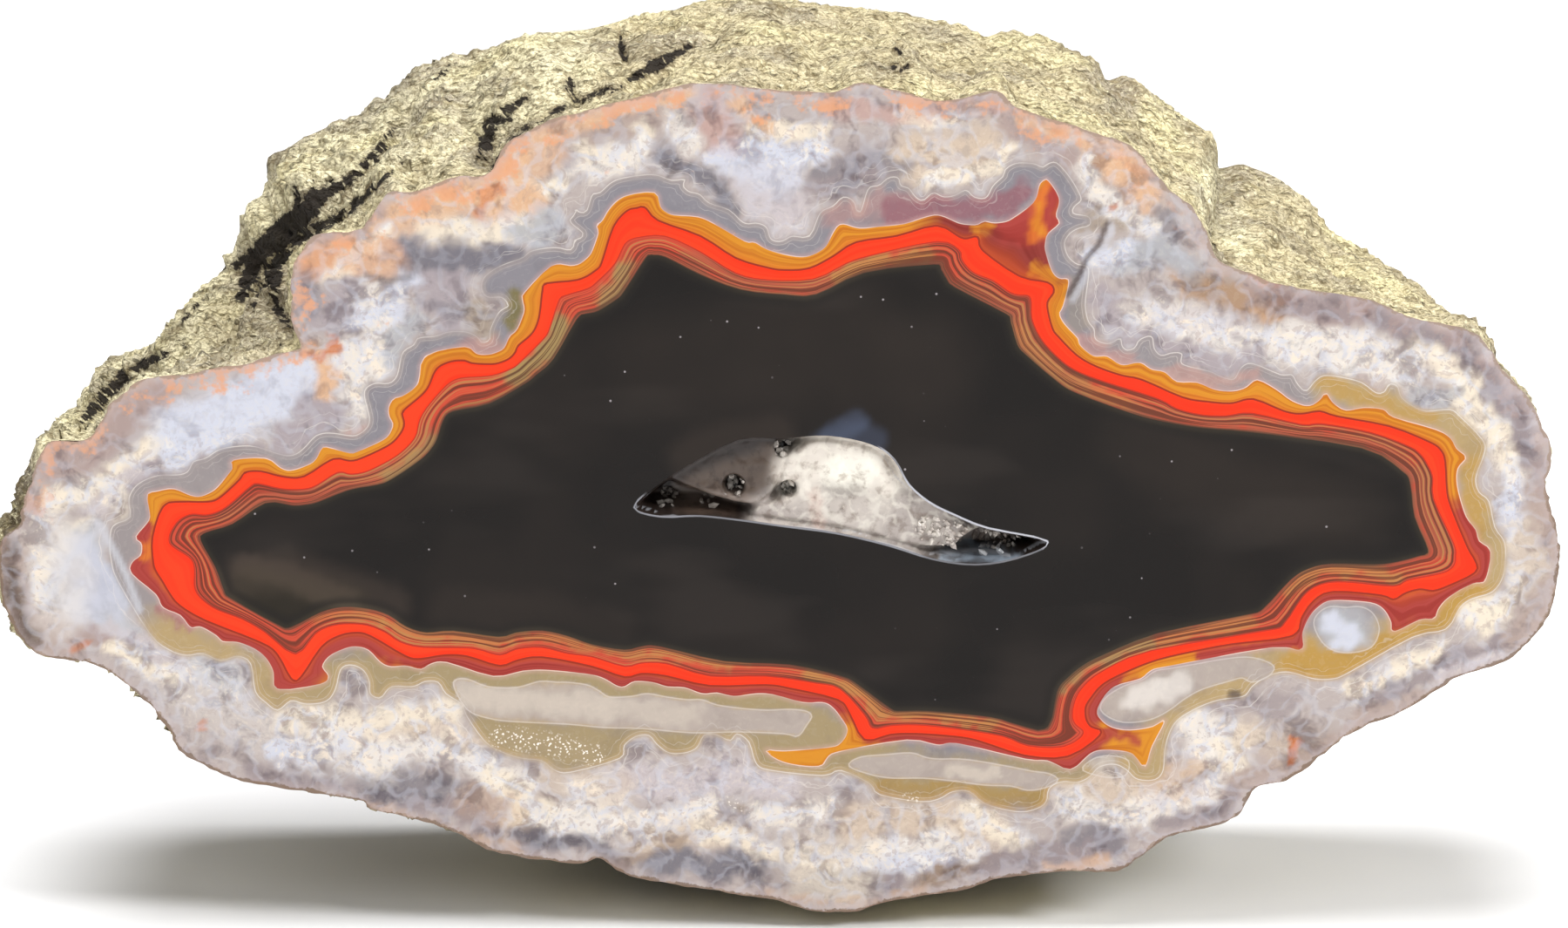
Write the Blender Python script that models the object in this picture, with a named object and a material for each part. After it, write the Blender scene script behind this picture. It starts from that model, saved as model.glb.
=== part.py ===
"""A polished agate slice that stands on a small ground flat, with a crystal-lined hollow in its face.

Metres, +Z up. The polished face looks along -Y, the sawn back along +Y, and the flat spot that
the stone stands on lies at Z = 0.
"""

import math
import random

import bmesh
import bpy
import numpy as np
from mathutils import Vector, noise

# Driving dimensions
SLICE_WIDTH = 0.096
SLICE_THICKNESS = 0.021
FACE_HEIGHT_ABOVE_FLAT = 0.0012
HOLLOW_DEPTH = 0.0062
CRUST_GAP = 0.0003
CRUST_THICKNESS = 0.0009
CRYSTAL_HEIGHT = 0.0007

# The outlines below were read by eye off one picture of the stone, taken from a little above.
# These values say how that picture was taken, so that its points go back onto the upright stone.
VIEW_ELEVATION = math.radians(14.0)
VIEW_FOCAL_PX = 5000.0
PICTURE_MIDDLE_PX = (900.0, 532.5)
STONE_SPAN_PX = 1790.0
LOWEST_FACE_PX = 1046.0
PICTURE_MIDDLE_X = 0.00062
VIEW_DISTANCE = VIEW_FOCAL_PX * SLICE_WIDTH / STONE_SPAN_PX

FRONT_Y = -0.5 * SLICE_THICKNESS
BACK_Y = 0.5 * SLICE_THICKNESS

# The edge of the polished face, clockwise from its left tip, in picture pixels.
FACE_EDGE_PX = [
    (55, 508), (95, 506), (115, 486), (129, 463), (155, 440), (181, 432), (218, 430), (244, 423),
    (287, 417), (316, 407), (345, 398), (336, 372), (334, 340), (337, 303), (350, 284), (364, 269),
    (416, 261), (442, 223), (473, 221), (500, 211), (529, 202), (559, 200), (577, 171), (598, 153),
    (649, 133), (738, 110), (804, 95), (886, 103), (955, 106), (987, 95), (1038, 106), (1087, 115),
    (1144, 104), (1170, 125), (1256, 152), (1302, 172), (1336, 212), (1376, 247), (1394, 293),
    (1417, 307), (1474, 327), (1572, 344), (1623, 365), (1692, 382), (1721, 419), (1755, 459),
    (1773, 494), (1781, 522), (1775, 566), (1790, 624), (1787, 670), (1778, 704), (1761, 730),
    (1727, 759), (1669, 779), (1618, 813), (1549, 842), (1486, 891), (1440, 905), (1428, 928),
    (1405, 945), (1342, 960), (1313, 980), (1279, 1000), (1221, 1000), (1153, 1008), (1095, 1023),
    (1021, 1034), (986, 1045), (934, 1046), (900, 1036), (878, 1031), (827, 1023), (746, 1011),
    (712, 1000), (689, 985), (660, 991), (568, 977), (522, 954), (482, 942), (425, 928), (413, 919),
    (350, 908), (276, 896), (230, 876), (207, 862), (189, 830), (158, 796), (109, 762), (86, 758),
    (49, 753), (26, 735), (3, 692), (0, 640), (3, 618), (22, 601), (27, 575), (37, 549),
]

# The upper outline of the rough skin behind the face, from left to right.
SKIN_EDGE_PX = [
    (57, 506), (99, 473), (105, 449), (160, 400), (189, 384), (205, 370), (229, 344), (246, 311),
    (264, 272), (289, 235), (305, 229), (318, 215), (335, 180), (353, 160), (378, 146), (410, 132),
    (459, 100), (500, 89), (600, 44), (672, 33), (800, 4), (909, 2), (1030, 23), (1130, 43),
    (1187, 45), (1221, 57), (1267, 92), (1302, 95), (1348, 123), (1388, 155), (1405, 184),
    (1428, 184), (1474, 212), (1520, 264), (1583, 310), (1612, 339), (1669, 367), (1692, 382),
]

# The hollow's edge, clockwise from its left tip.
HOLLOW_EDGE_PX = [
    (729, 582), (756, 556), (800, 528), (850, 504), (900, 503), (950, 500), (1000, 510),
    (1026, 528), (1042, 556), (1066, 577), (1096, 592), (1134, 607), (1202, 622), (1166, 640),
    (1120, 647), (1072, 641), (1020, 625), (960, 611), (900, 603), (850, 596), (802, 591),
    (759, 592),
]

# Crevices and ledges of the upper left skin: their run in the picture, depth and half width.
CREVICES_PX = [
    ([(99, 475), (150, 432), (212, 396), (262, 380)], 0.0008, 0.0007),
    ([(246, 392), (272, 344), (284, 295), (312, 262), (344, 241), (370, 223)], 0.0013, 0.0009),
    ([(312, 289), (318, 322), (315, 358)], 0.0009, 0.0007),
    ([(364, 266), (401, 215), (442, 163), (468, 140)], 0.0012, 0.0008),
    ([(470, 208), (505, 178), (545, 150)], 0.0007, 0.0007),
    ([(557, 188), (578, 150), (600, 120), (655, 99)], 0.0010, 0.0008),
    ([(640, 118), (690, 86), (722, 60)], 0.0008, 0.0006),
    ([(730, 92), (772, 66), (813, 44)], 0.0010, 0.0008),
    ([(1128, 66), (1190, 84), (1250, 122)], 0.0006, 0.0007),
    ([(1270, 96), (1300, 128), (1345, 170)], 0.0006, 0.0006),
    ([(1404, 190), (1412, 226), (1402, 272)], 0.0009, 0.0008),
    ([(1440, 232), (1482, 264), (1540, 312)], 0.0006, 0.0007),
]

# Lumps that stand out of the skin: place in the picture, height and radius.
LUMPS_PX = [
    ((236, 372), 0.0007, 0.0022), ((300, 330), 0.0006, 0.0016), ((338, 212), 0.0008, 0.0020),
    ((420, 186), 0.0006, 0.0018), ((520, 120), 0.0007, 0.0026), ((620, 84), 0.0006, 0.0020),
    ((700, 66), 0.0005, 0.0018), ((880, 50), 0.0005, 0.0030), ((1020, 62), 0.0005, 0.0026),
    ((1160, 82), 0.0005, 0.0022), ((1240, 96), 0.0005, 0.0018), ((1370, 190), 0.0006, 0.0020),
    ((1470, 262), 0.0006, 0.0022), ((140, 432), 0.0004, 0.0014),
]

# How finely each surface is divided
COLUMNS = 240
ROWS = 12
HOLLOW_COLUMNS = 48

# The middle of the stone in the picture, and the proportions that the turn around it is read in.
MIDDLE_PX = (905.0, 560.0)
HALF_WIDTH = 0.048
HALF_HEIGHT = 0.027

# The back's reach below, as a share of the face's own, how many columns its outline is smoothed
# over, and the turn over which the outlines of the upper and lower skin pass into each other.
BACK_SHARE_BOTTOM = 0.99
SMOOTH_SPAN = 7
JOIN_TURN = 0.1

# The ground flat: how far the skin under the face bulges below it, and how wide that bulge is.
FOOT_BULGE = 0.0027
FOOT_START = 0.5
FOOT_MIDDLE_X = 0.0015
FOOT_HALF_WIDTH = 0.024
FOOT_CORE_SHARE = 0.45
FOOT_CALM = 0.85

# The rough skin: sizes and heights of its lumps, its pits, and where its relief starts behind the face.
SKIN_NOISE = ((0.0085, 0.0006), (0.0034, 0.00042))
PIT_SPACING = 0.004
PIT_DEPTH = 0.0005
PIT_SHARE = 0.32
LOWER_RELIEF = 1.5
LOWER_BELLY = 0.0007
BELLY_START = 0.3
RELIEF_START = 0.12
METRES_PER_PX = SLICE_WIDTH / STONE_SPAN_PX

# The hollow is steep at its edge and round below: the shares of its depth that its rings lie at,
# and the power that says how late its wall draws in.
HOLLOW_SHARES = (0.0, 0.2, 0.4, 0.6, 0.75, 0.88, 0.97)
HOLLOW_POWER = 2.4
HOLLOW_FULLNESS = 0.985
HOLLOW_CUTTER_RISE = 0.001

# The druse's two sides: how deep each starts, how far each is drawn in from the hollow's edge,
# and the shares of its depth that its rings lie at.
CRUST_OUTER_START = 0.0001
CRUST_INNER_START = 0.0006
CRUST_OUTER_SIZE = 0.885
CRUST_INNER_SIZE = 0.66
CRUST_OUTER_SHARES = (0.045, 0.2, 0.4, 0.6, 0.75, 0.88)
CRUST_INNER_SHARES = (0.0, 0.22, 0.45, 0.65, 0.82, 0.95)
SMALLEST_CRYSTAL_SHARE = 0.3
CRYSTAL_SEED = 11

STONE_COLOUR = (0.34, 0.12, 0.07, 1.0)
STONE_ROUGHNESS = 0.3
CRUST_COLOUR = (0.72, 0.69, 0.62, 1.0)
CRUST_ROUGHNESS = 0.25
SHARP_ANGLE = math.radians(35.0)


def view_ray(point_px):
    """The viewpoint of the picture, from the aimed point on the face, and the ray through a pixel."""
    right = Vector((1.0, 0.0, 0.0))
    up = Vector((0.0, math.sin(VIEW_ELEVATION), math.cos(VIEW_ELEVATION)))
    ahead = Vector((0.0, math.cos(VIEW_ELEVATION), -math.sin(VIEW_ELEVATION)))
    across_px = point_px[0] - PICTURE_MIDDLE_PX[0]
    up_px = PICTURE_MIDDLE_PX[1] - point_px[1]
    start = Vector((0.0, FRONT_Y, 0.0)) - VIEW_DISTANCE * ahead
    return start, ahead + (right * across_px + up * up_px) / VIEW_FOCAL_PX


def laid_on(point_px, plane_y):
    """(x, z) of a picture point on the upright plane at plane_y, before the stone is raised."""
    start, ray = view_ray(point_px)
    hit = start + ray * ((plane_y - start.y) / ray.y)
    return hit.x, hit.z


AIM_HEIGHT = FACE_HEIGHT_ABOVE_FLAT - laid_on((PICTURE_MIDDLE_PX[0], LOWEST_FACE_PX), FRONT_Y)[1]


def place_on(point_px, plane_y):
    """(x, z) of a picture point on the upright plane at plane_y, on the standing stone."""
    x, z = laid_on(point_px, plane_y)
    return x + PICTURE_MIDDLE_X, z + AIM_HEIGHT


def picture_of(point):
    """The picture pixel where a point of the stone shows."""
    start, ahead = view_ray(PICTURE_MIDDLE_PX)
    seen = point - start - Vector((PICTURE_MIDDLE_X, 0.0, AIM_HEIGHT))
    depth = seen.dot(ahead)
    up = seen.y * math.sin(VIEW_ELEVATION) + seen.z * math.cos(VIEW_ELEVATION)
    scale = VIEW_FOCAL_PX / depth
    return PICTURE_MIDDLE_PX[0] + seen.x * scale, PICTURE_MIDDLE_PX[1] - up * scale


def smooth_step(low, high, value):
    share = np.clip((value - low) / (high - low), 0.0, 1.0)
    return share * share * (3.0 - 2.0 * share)


def smooth_closed(points, steps=6):
    """A closed Catmull-Rom curve through the points."""
    points = np.array(points, float)
    before, after, later = (np.roll(points, shift, axis=0) for shift in (1, -1, -2))
    curve = []
    for step in range(steps):
        t = step / steps
        curve.append(
            0.5
            * (
                2.0 * points
                + (after - before) * t
                + (2.0 * before - 5.0 * points + 4.0 * after - later) * t**2
                + (3.0 * points - before - 3.0 * after + later) * t**3
            )
        )
    return np.stack(curve, axis=1).reshape(-1, 2)


def turn_and_reach(outline, middle):
    """The turn and the reach of outline points, on a circle stretched to the stone's proportions."""
    across = (outline[:, 0] - middle[0]) / HALF_WIDTH
    up = (outline[:, 1] - middle[1]) / HALF_HEIGHT
    return np.arctan2(up, across), np.hypot(across, up)


def reach_at(outline, middle, turns):
    """How far an outline reaches from the middle at each of the turns."""
    own_turns, own_reach = turn_and_reach(outline, middle)
    return np.interp(turns, own_turns, own_reach, period=2.0 * math.pi)


def even_turns(outline, middle):
    """Turns that lie evenly along an outline, so that its steep stretches get their columns too."""
    turns, _ = turn_and_reach(outline, middle)
    order = np.argsort(turns)
    turns = turns[order]
    ordered = outline[order]
    steps = np.hypot(*(np.roll(ordered, -1, axis=0) - ordered).T)
    along = np.concatenate([[0.0], np.cumsum(steps)])
    spots = np.linspace(0.0, along[-1], COLUMNS, endpoint=False)
    return np.interp(spots, along, np.append(turns, turns[0] + 2.0 * math.pi))


def back_outline(face_reach, middle, turns):
    """The back's reach: the skin's outline above, and below the face's own, smoothed and drawn in."""
    skin = np.array([place_on(p, BACK_Y) for p in SKIN_EDGE_PX])
    above = reach_at(skin, middle, turns)
    ends, _ = turn_and_reach(skin[[0, -1]], middle)
    full_turn = 2.0 * math.pi
    left_end, right_end = ends % full_turn
    spread = np.arange(-SMOOTH_SPAN, SMOOTH_SPAN + 1)
    soft = np.mean([np.roll(face_reach, int(shift)) for shift in spread], axis=0)
    joins = np.interp([left_end, right_end], turns, above / soft, period=full_turn)
    down = turns % full_turn
    down = np.where(down > 0.25 * full_turn, down, down + full_turn)
    right_end += full_turn
    share = np.interp(
        down,
        [left_end, 0.75 * full_turn, right_end],
        [joins[0], BACK_SHARE_BOTTOM, joins[1]],
    )
    past_left = smooth_step(left_end - JOIN_TURN, left_end + JOIN_TURN, down)
    before_right = smooth_step(right_end + JOIN_TURN, right_end - JOIN_TURN, down)
    lower = past_left * before_right
    return above * (1.0 - lower) + soft * share * lower


def distance_to_run(point, run):
    """The distance from a picture point to a run of straight stretches, in pixels."""
    nearest = math.inf
    for start, end in zip(run[:-1], run[1:]):
        along = Vector(end) - Vector(start)
        share = (Vector(point) - Vector(start)).dot(along) / along.length_squared
        foot = Vector(start) + along * min(max(share, 0.0), 1.0)
        nearest = min(nearest, (Vector(point) - foot).length)
    return nearest


def relief_at(place, upper):
    """How far the rough skin stands out or in at a place, from its lumps, pits and crevices."""
    out = 0.0
    for size, height in SKIN_NOISE:
        out += height * noise.noise(place / size)
    pit = noise.voronoi(place / PIT_SPACING)[0][0]
    out -= PIT_DEPTH * max(0.0, 1.0 - pit / PIT_SHARE)
    if not upper:
        return LOWER_RELIEF * out
    seen = picture_of(place)
    for run, depth, half_width in CREVICES_PX:
        away = distance_to_run(seen, run) * METRES_PER_PX
        out -= depth * math.exp(-((away / half_width) ** 2))
    for spot, height, radius in LUMPS_PX:
        away = math.dist(seen, spot) * METRES_PER_PX
        out += height * math.exp(-((away / radius) ** 2))
    return out


def skin_ring(middle, turns, reach):
    """The x and z of one ring of the skin, and the way out of it at each point."""
    x = middle[0] + HALF_WIDTH * reach * np.cos(turns)
    z = middle[1] + HALF_HEIGHT * reach * np.sin(turns)
    along_x = np.roll(x, -2) - np.roll(x, 2)
    along_z = np.roll(z, -2) - np.roll(z, 2)
    length = np.hypot(along_x, along_z)
    return x, z, along_z / length, -along_x / length


def skin_points(middle, turns, face_reach, back_reach):
    """The rows of the rough skin, from the polished face's edge to the sawn back's edge."""
    rows = []
    lower = np.sin(turns) < 0.0
    for share in np.linspace(0.0, 1.0, ROWS + 1):
        y = FRONT_Y + SLICE_THICKNESS * share
        reach = face_reach + (back_reach - face_reach) * share
        x, z, out_x, out_z = skin_ring(middle, turns, reach)
        ramp = float(smooth_step(0.0, RELIEF_START, share))
        from_foot = np.abs(x - FOOT_MIDDLE_X)
        foot = smooth_step(FOOT_HALF_WIDTH, FOOT_CORE_SHARE * FOOT_HALF_WIDTH, from_foot) * lower
        drop = FOOT_BULGE * foot * smooth_step(0.0, FOOT_START, share)
        belly = LOWER_BELLY * math.sin(math.pi * share)
        belly = belly * smooth_step(0.0, BELLY_START, -np.sin(turns))
        ring = []
        for i in range(COLUMNS):
            place = Vector((x[i], y, z[i]))
            out = (relief_at(place, not lower[i]) * ramp + belly[i]) * (1.0 - FOOT_CALM * foot[i])
            ring.append(Vector((x[i] + out * out_x[i], y, z[i] + out * out_z[i] - drop[i])))
        rows.append(ring)
    return rows


def new_object(name, build_mesh, material):
    mesh = bpy.data.meshes.new(name)
    build_mesh.to_mesh(mesh)
    build_mesh.free()
    mesh.materials.append(material)
    made = bpy.data.objects.new(name, mesh)
    bpy.context.scene.collection.objects.link(made)
    return made


def stone_material(name, colour, roughness):
    material = bpy.data.materials.new(name)
    material.use_nodes = True
    shader = material.node_tree.nodes["Principled BSDF"]
    shader.inputs["Base Color"].default_value = colour
    shader.inputs["Roughness"].default_value = roughness
    shader.inputs["Metallic"].default_value = 0.0
    return material


def stone_body():
    """The slice as one closed skin, with its foot ground flat at Z = 0."""
    middle = place_on(MIDDLE_PX, FRONT_Y)
    face = smooth_closed([place_on(p, FRONT_Y) for p in FACE_EDGE_PX])
    turns = even_turns(face, middle)
    face_reach = reach_at(face, middle, turns)
    back_reach = back_outline(face_reach, middle, turns)
    rows = skin_points(middle, turns, face_reach, back_reach)
    body = bmesh.new()
    rings = [[body.verts.new(place) for place in ring] for ring in rows]
    for near, far in zip(rings[:-1], rings[1:]):
        for i in range(COLUMNS):
            j = (i + 1) % COLUMNS
            body.faces.new((near[i], near[j], far[j], far[i]))
    body.faces.new(rings[0])
    body.faces.new(rings[-1])
    bmesh.ops.recalc_face_normals(body, faces=body.faces)
    cut = bmesh.ops.bisect_plane(
        body,
        geom=body.verts[:] + body.edges[:] + body.faces[:],
        plane_co=(0.0, 0.0, 0.0),
        plane_no=(0.0, 0.0, 1.0),
        clear_inner=True,
    )
    open_edges = [e for e in cut["geom_cut"] if isinstance(e, bmesh.types.BMEdge)]
    bmesh.ops.contextual_create(body, geom=open_edges)
    bmesh.ops.recalc_face_normals(body, faces=body.faces)
    return body


def hollow_ring(deep, shrink):
    """One ring of the hollow's wall: its edge drawn in towards the middle, at a depth."""
    edge = smooth_closed([place_on(p, FRONT_Y) for p in HOLLOW_EDGE_PX], 4)
    middle = edge.mean(axis=0)
    steps = np.cumsum(np.hypot(*(np.roll(edge, -1, axis=0) - edge).T))
    spots = np.linspace(0.0, steps[-1], HOLLOW_COLUMNS, endpoint=False)
    along = np.concatenate([[0.0], steps])
    closed = np.vstack([edge, edge[:1]])
    ring = np.stack([np.interp(spots, along, closed[:, k]) for k in (0, 1)], axis=1)
    ring = middle + (ring - middle) * shrink
    return [Vector((x, FRONT_Y + deep, z)) for x, z in ring]


def bowl_shrink(share):
    """The hollow's size at a share of its depth, as a share of its size at the face."""
    return math.sqrt(max(0.0, 1.0 - (HOLLOW_FULLNESS * share) ** HOLLOW_POWER))


def bridge(body, rings):
    for near, far in zip(rings[:-1], rings[1:]):
        for i in range(len(near)):
            j = (i + 1) % len(near)
            body.faces.new((near[i], near[j], far[j], far[i]))


def hollow_cutter():
    body = bmesh.new()
    stops = [(-HOLLOW_CUTTER_RISE, 1.0)]
    stops += [(HOLLOW_DEPTH * share, bowl_shrink(share)) for share in HOLLOW_SHARES]
    rings = [[body.verts.new(p) for p in hollow_ring(deep, shrink)] for deep, shrink in stops]
    bridge(body, rings)
    body.faces.new(rings[0])
    body.faces.new(rings[-1])
    bmesh.ops.recalc_face_normals(body, faces=body.faces)
    return body


def crust_body():
    """The druse: a thin shell just inside the hollow's wall, its inner side set with crystal points."""
    body = bmesh.new()
    outer_depth = HOLLOW_DEPTH - 2.0 * CRUST_GAP
    inner_depth = outer_depth - CRUST_THICKNESS - CRYSTAL_HEIGHT
    outer_rings = []
    for share in CRUST_OUTER_SHARES:
        deep = CRUST_OUTER_START + outer_depth * share
        ring = hollow_ring(deep, CRUST_OUTER_SIZE * bowl_shrink(share))
        outer_rings.append([body.verts.new(place) for place in ring])
    inner_rings = []
    for share in CRUST_INNER_SHARES:
        deep = CRUST_INNER_START + inner_depth * share
        ring = hollow_ring(deep, CRUST_INNER_SIZE * bowl_shrink(share))
        inner_rings.append([body.verts.new(place) for place in ring])
    bridge(body, outer_rings)
    bridge(body, [outer_rings[0], inner_rings[0]])
    body.faces.new(outer_rings[-1])
    lining_start = len(body.faces)
    bridge(body, inner_rings)
    body.faces.ensure_lookup_table()
    lining = list(body.faces)[lining_start:]
    body.faces.new(inner_rings[-1])
    bmesh.ops.recalc_face_normals(body, faces=body.faces)
    draw = random.Random(CRYSTAL_SEED)
    for face in lining:
        raised = CRYSTAL_HEIGHT * draw.uniform(SMALLEST_CRYSTAL_SHARE, 1.0)
        bmesh.ops.poke(body, faces=[face], offset=raised)
    return body


def make_slice():
    agate = stone_material("banded_agate", STONE_COLOUR, STONE_ROUGHNESS)
    quartz = stone_material("drusy_quartz", CRUST_COLOUR, CRUST_ROUGHNESS)
    stone = new_object("agate_slice", stone_body(), agate)
    cutter = new_object("hollow_cutter", hollow_cutter(), agate)
    cutter.hide_render = True
    cutter.display_type = "WIRE"
    carve = stone.modifiers.new("hollow", "BOOLEAN")
    carve.operation = "DIFFERENCE"
    carve.solver = "EXACT"
    carve.object = cutter
    stone.data.shade_smooth()
    stone.data.set_sharp_from_angle(angle=SHARP_ANGLE)
    crust = new_object("quartz_crust", crust_body(), quartz)
    crust.data.shade_flat()


def main():
    for old in list(bpy.data.objects):
        bpy.data.objects.remove(old, do_unlink=True)
    make_slice()


main()
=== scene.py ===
# %% [markdown]
# # A polished agate slice
#
# The stone is a thick slice of an agate nodule. Its face is sawn and polished, its skin is rough,
# and a small crystal-lined hollow lies in the dark middle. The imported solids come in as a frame,
# and each of them is dressed here with a finer mesh and a finish of its own.

import math
import random

import bpy
import numpy as np
from mathutils import Euler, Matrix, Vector, noise


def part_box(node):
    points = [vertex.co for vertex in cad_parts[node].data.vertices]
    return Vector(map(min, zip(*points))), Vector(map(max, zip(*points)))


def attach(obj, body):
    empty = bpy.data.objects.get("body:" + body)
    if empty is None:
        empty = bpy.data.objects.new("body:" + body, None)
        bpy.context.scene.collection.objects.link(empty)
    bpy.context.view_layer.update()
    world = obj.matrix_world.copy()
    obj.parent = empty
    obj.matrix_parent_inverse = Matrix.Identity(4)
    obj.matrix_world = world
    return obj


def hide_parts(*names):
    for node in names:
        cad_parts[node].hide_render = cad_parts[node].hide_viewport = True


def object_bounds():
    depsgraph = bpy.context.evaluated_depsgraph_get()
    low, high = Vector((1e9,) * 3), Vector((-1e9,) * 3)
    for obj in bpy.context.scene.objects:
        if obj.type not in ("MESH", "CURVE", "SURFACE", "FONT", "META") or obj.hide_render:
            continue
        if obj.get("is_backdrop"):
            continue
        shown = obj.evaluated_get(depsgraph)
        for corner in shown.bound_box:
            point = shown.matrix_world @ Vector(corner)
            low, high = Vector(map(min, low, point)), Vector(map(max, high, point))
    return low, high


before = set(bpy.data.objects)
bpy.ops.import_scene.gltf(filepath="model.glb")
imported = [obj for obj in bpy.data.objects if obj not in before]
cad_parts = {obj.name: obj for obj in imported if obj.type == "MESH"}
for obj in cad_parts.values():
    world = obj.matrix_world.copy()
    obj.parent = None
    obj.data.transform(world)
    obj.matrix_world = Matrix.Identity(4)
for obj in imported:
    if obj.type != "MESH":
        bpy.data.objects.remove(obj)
cad_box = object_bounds()
stone_low, stone_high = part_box("agate_slice")
print("nodes:", sorted(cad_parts))
print("box in mm:", [[round(1000 * value, 1) for value in corner] for corner in cad_box])

# %% [markdown]
# ## The view that the outlines were read in
#
# The outlines of the bands were read off one picture of the stone, in its pixels. To use
# them, the script needs the way from a place on the stone to a pixel and back. The picture was
# taken with a long lens from a little above, so that is what these few values say.

# %% Sizes and the view
SLICE_WIDTH = 0.096
SLICE_THICKNESS = 0.021
FACE_HEIGHT_ABOVE_FLAT = 0.0012
FRONT_Y = -0.5 * SLICE_THICKNESS
BACK_Y = 0.5 * SLICE_THICKNESS

VIEW_ELEVATION = math.radians(14.0)
VIEW_FOCAL_PX = 5000.0
PICTURE_SIZE_PX = (1800.0, 1065.0)
PICTURE_MIDDLE_PX = (900.0, 532.5)
STONE_SPAN_PX = 1790.0
LOWEST_FACE_PX = 1046.0
PICTURE_MIDDLE_X = 0.00062
VIEW_DISTANCE = VIEW_FOCAL_PX * SLICE_WIDTH / STONE_SPAN_PX
PIXEL = SLICE_WIDTH / STONE_SPAN_PX
PIXEL_MM = 1000.0 * PIXEL

LOOK_DOWN = math.sin(VIEW_ELEVATION)
LOOK_AHEAD = math.cos(VIEW_ELEVATION)


def laid_on(points_px, plane_y):
    """(x, z) of picture points on an upright plane, before the stone is raised onto its flat."""
    points_px = np.asarray(points_px, float)
    across = (points_px[..., 0] - PICTURE_MIDDLE_PX[0]) / VIEW_FOCAL_PX
    up = (PICTURE_MIDDLE_PX[1] - points_px[..., 1]) / VIEW_FOCAL_PX
    ray_y = LOOK_AHEAD + up * LOOK_DOWN
    ray_z = up * LOOK_AHEAD - LOOK_DOWN
    far = (plane_y - FRONT_Y + VIEW_DISTANCE * LOOK_AHEAD) / ray_y
    return np.stack([far * across, VIEW_DISTANCE * LOOK_DOWN + far * ray_z], axis=-1)


AIM_HEIGHT = FACE_HEIGHT_ABOVE_FLAT - laid_on((PICTURE_MIDDLE_PX[0], LOWEST_FACE_PX), FRONT_Y)[1]


def place_on(points_px, plane_y):
    """(x, z) of picture points on an upright plane, on the standing stone."""
    return laid_on(points_px, plane_y) + np.array([PICTURE_MIDDLE_X, AIM_HEIGHT])


def picture_of(places):
    """The picture pixels where places on the stone show."""
    x = places[:, 0] - PICTURE_MIDDLE_X
    y = places[:, 1] - FRONT_Y
    z = places[:, 2] - AIM_HEIGHT
    depth = VIEW_DISTANCE + y * LOOK_AHEAD - z * LOOK_DOWN
    up = y * LOOK_DOWN + z * LOOK_AHEAD
    across_px = PICTURE_MIDDLE_PX[0] + VIEW_FOCAL_PX * x / depth
    down_px = PICTURE_MIDDLE_PX[1] - VIEW_FOCAL_PX * up / depth
    return np.stack([across_px, down_px], axis=1)


print("one pixel of the picture is", round(PIXEL_MM, 4), "mm on the face")

# %% [markdown]
# ## The outlines of the stone and of its bands
#
# Agate grows inwards in layers, so every band is a closed line inside the one before it. Five of
# them carry the look of this stone: the edge of the cloudy zone, the thin pale line around the
# amber band, the two edges of the bright red band, and the edge of the dark middle. The other
# lists are the outer shapes, the same as in the stone's own source.

# %% The stone's outer lines
FACE_EDGE_PX = [
    (55, 508), (95, 506), (115, 486), (129, 463), (155, 440), (181, 432), (218, 430), (244, 423),
    (287, 417), (316, 407), (345, 398), (336, 372), (334, 340), (337, 303), (350, 284), (364, 269),
    (416, 261), (442, 223), (473, 221), (500, 211), (529, 202), (559, 200), (577, 171), (598, 153),
    (649, 133), (738, 110), (804, 95), (886, 103), (955, 106), (987, 95), (1038, 106), (1087, 115),
    (1144, 104), (1170, 125), (1256, 152), (1302, 172), (1336, 212), (1376, 247), (1394, 293),
    (1417, 307), (1474, 327), (1572, 344), (1623, 365), (1692, 382), (1721, 419), (1755, 459),
    (1773, 494), (1781, 522), (1775, 566), (1790, 624), (1787, 670), (1778, 704), (1761, 730),
    (1727, 759), (1669, 779), (1618, 813), (1549, 842), (1486, 891), (1440, 905), (1428, 928),
    (1405, 945), (1342, 960), (1313, 980), (1279, 1000), (1221, 1000), (1153, 1008), (1095, 1023),
    (1021, 1034), (986, 1045), (934, 1046), (900, 1036), (878, 1031), (827, 1023), (746, 1011),
    (712, 1000), (689, 985), (660, 991), (568, 977), (522, 954), (482, 942), (425, 928), (413, 919),
    (350, 908), (276, 896), (230, 876), (207, 862), (189, 830), (158, 796), (109, 762), (86, 758),
    (49, 753), (26, 735), (3, 692), (0, 640), (3, 618), (22, 601), (27, 575), (37, 549),
]
SKIN_EDGE_PX = [
    (57, 506), (99, 473), (105, 449), (160, 400), (189, 384), (205, 370), (229, 344), (246, 311),
    (264, 272), (289, 235), (305, 229), (318, 215), (335, 180), (353, 160), (378, 146), (410, 132),
    (459, 100), (500, 89), (600, 44), (672, 33), (800, 4), (909, 2), (1030, 23), (1130, 43), (1187, 45),
    (1221, 57), (1267, 92), (1302, 95), (1348, 123), (1388, 155), (1405, 184), (1428, 184), (1474, 212),
    (1520, 264), (1583, 310), (1612, 339), (1669, 367), (1692, 382),
]
HOLLOW_EDGE_PX = [
    (729, 582), (756, 556), (800, 528), (850, 504), (900, 503), (950, 500), (1000, 510), (1026, 528),
    (1042, 556), (1066, 577), (1096, 592), (1134, 607), (1202, 622), (1166, 640), (1120, 647),
    (1072, 641), (1020, 625), (960, 611), (900, 603), (850, 596), (802, 591), (759, 592),
]

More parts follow.
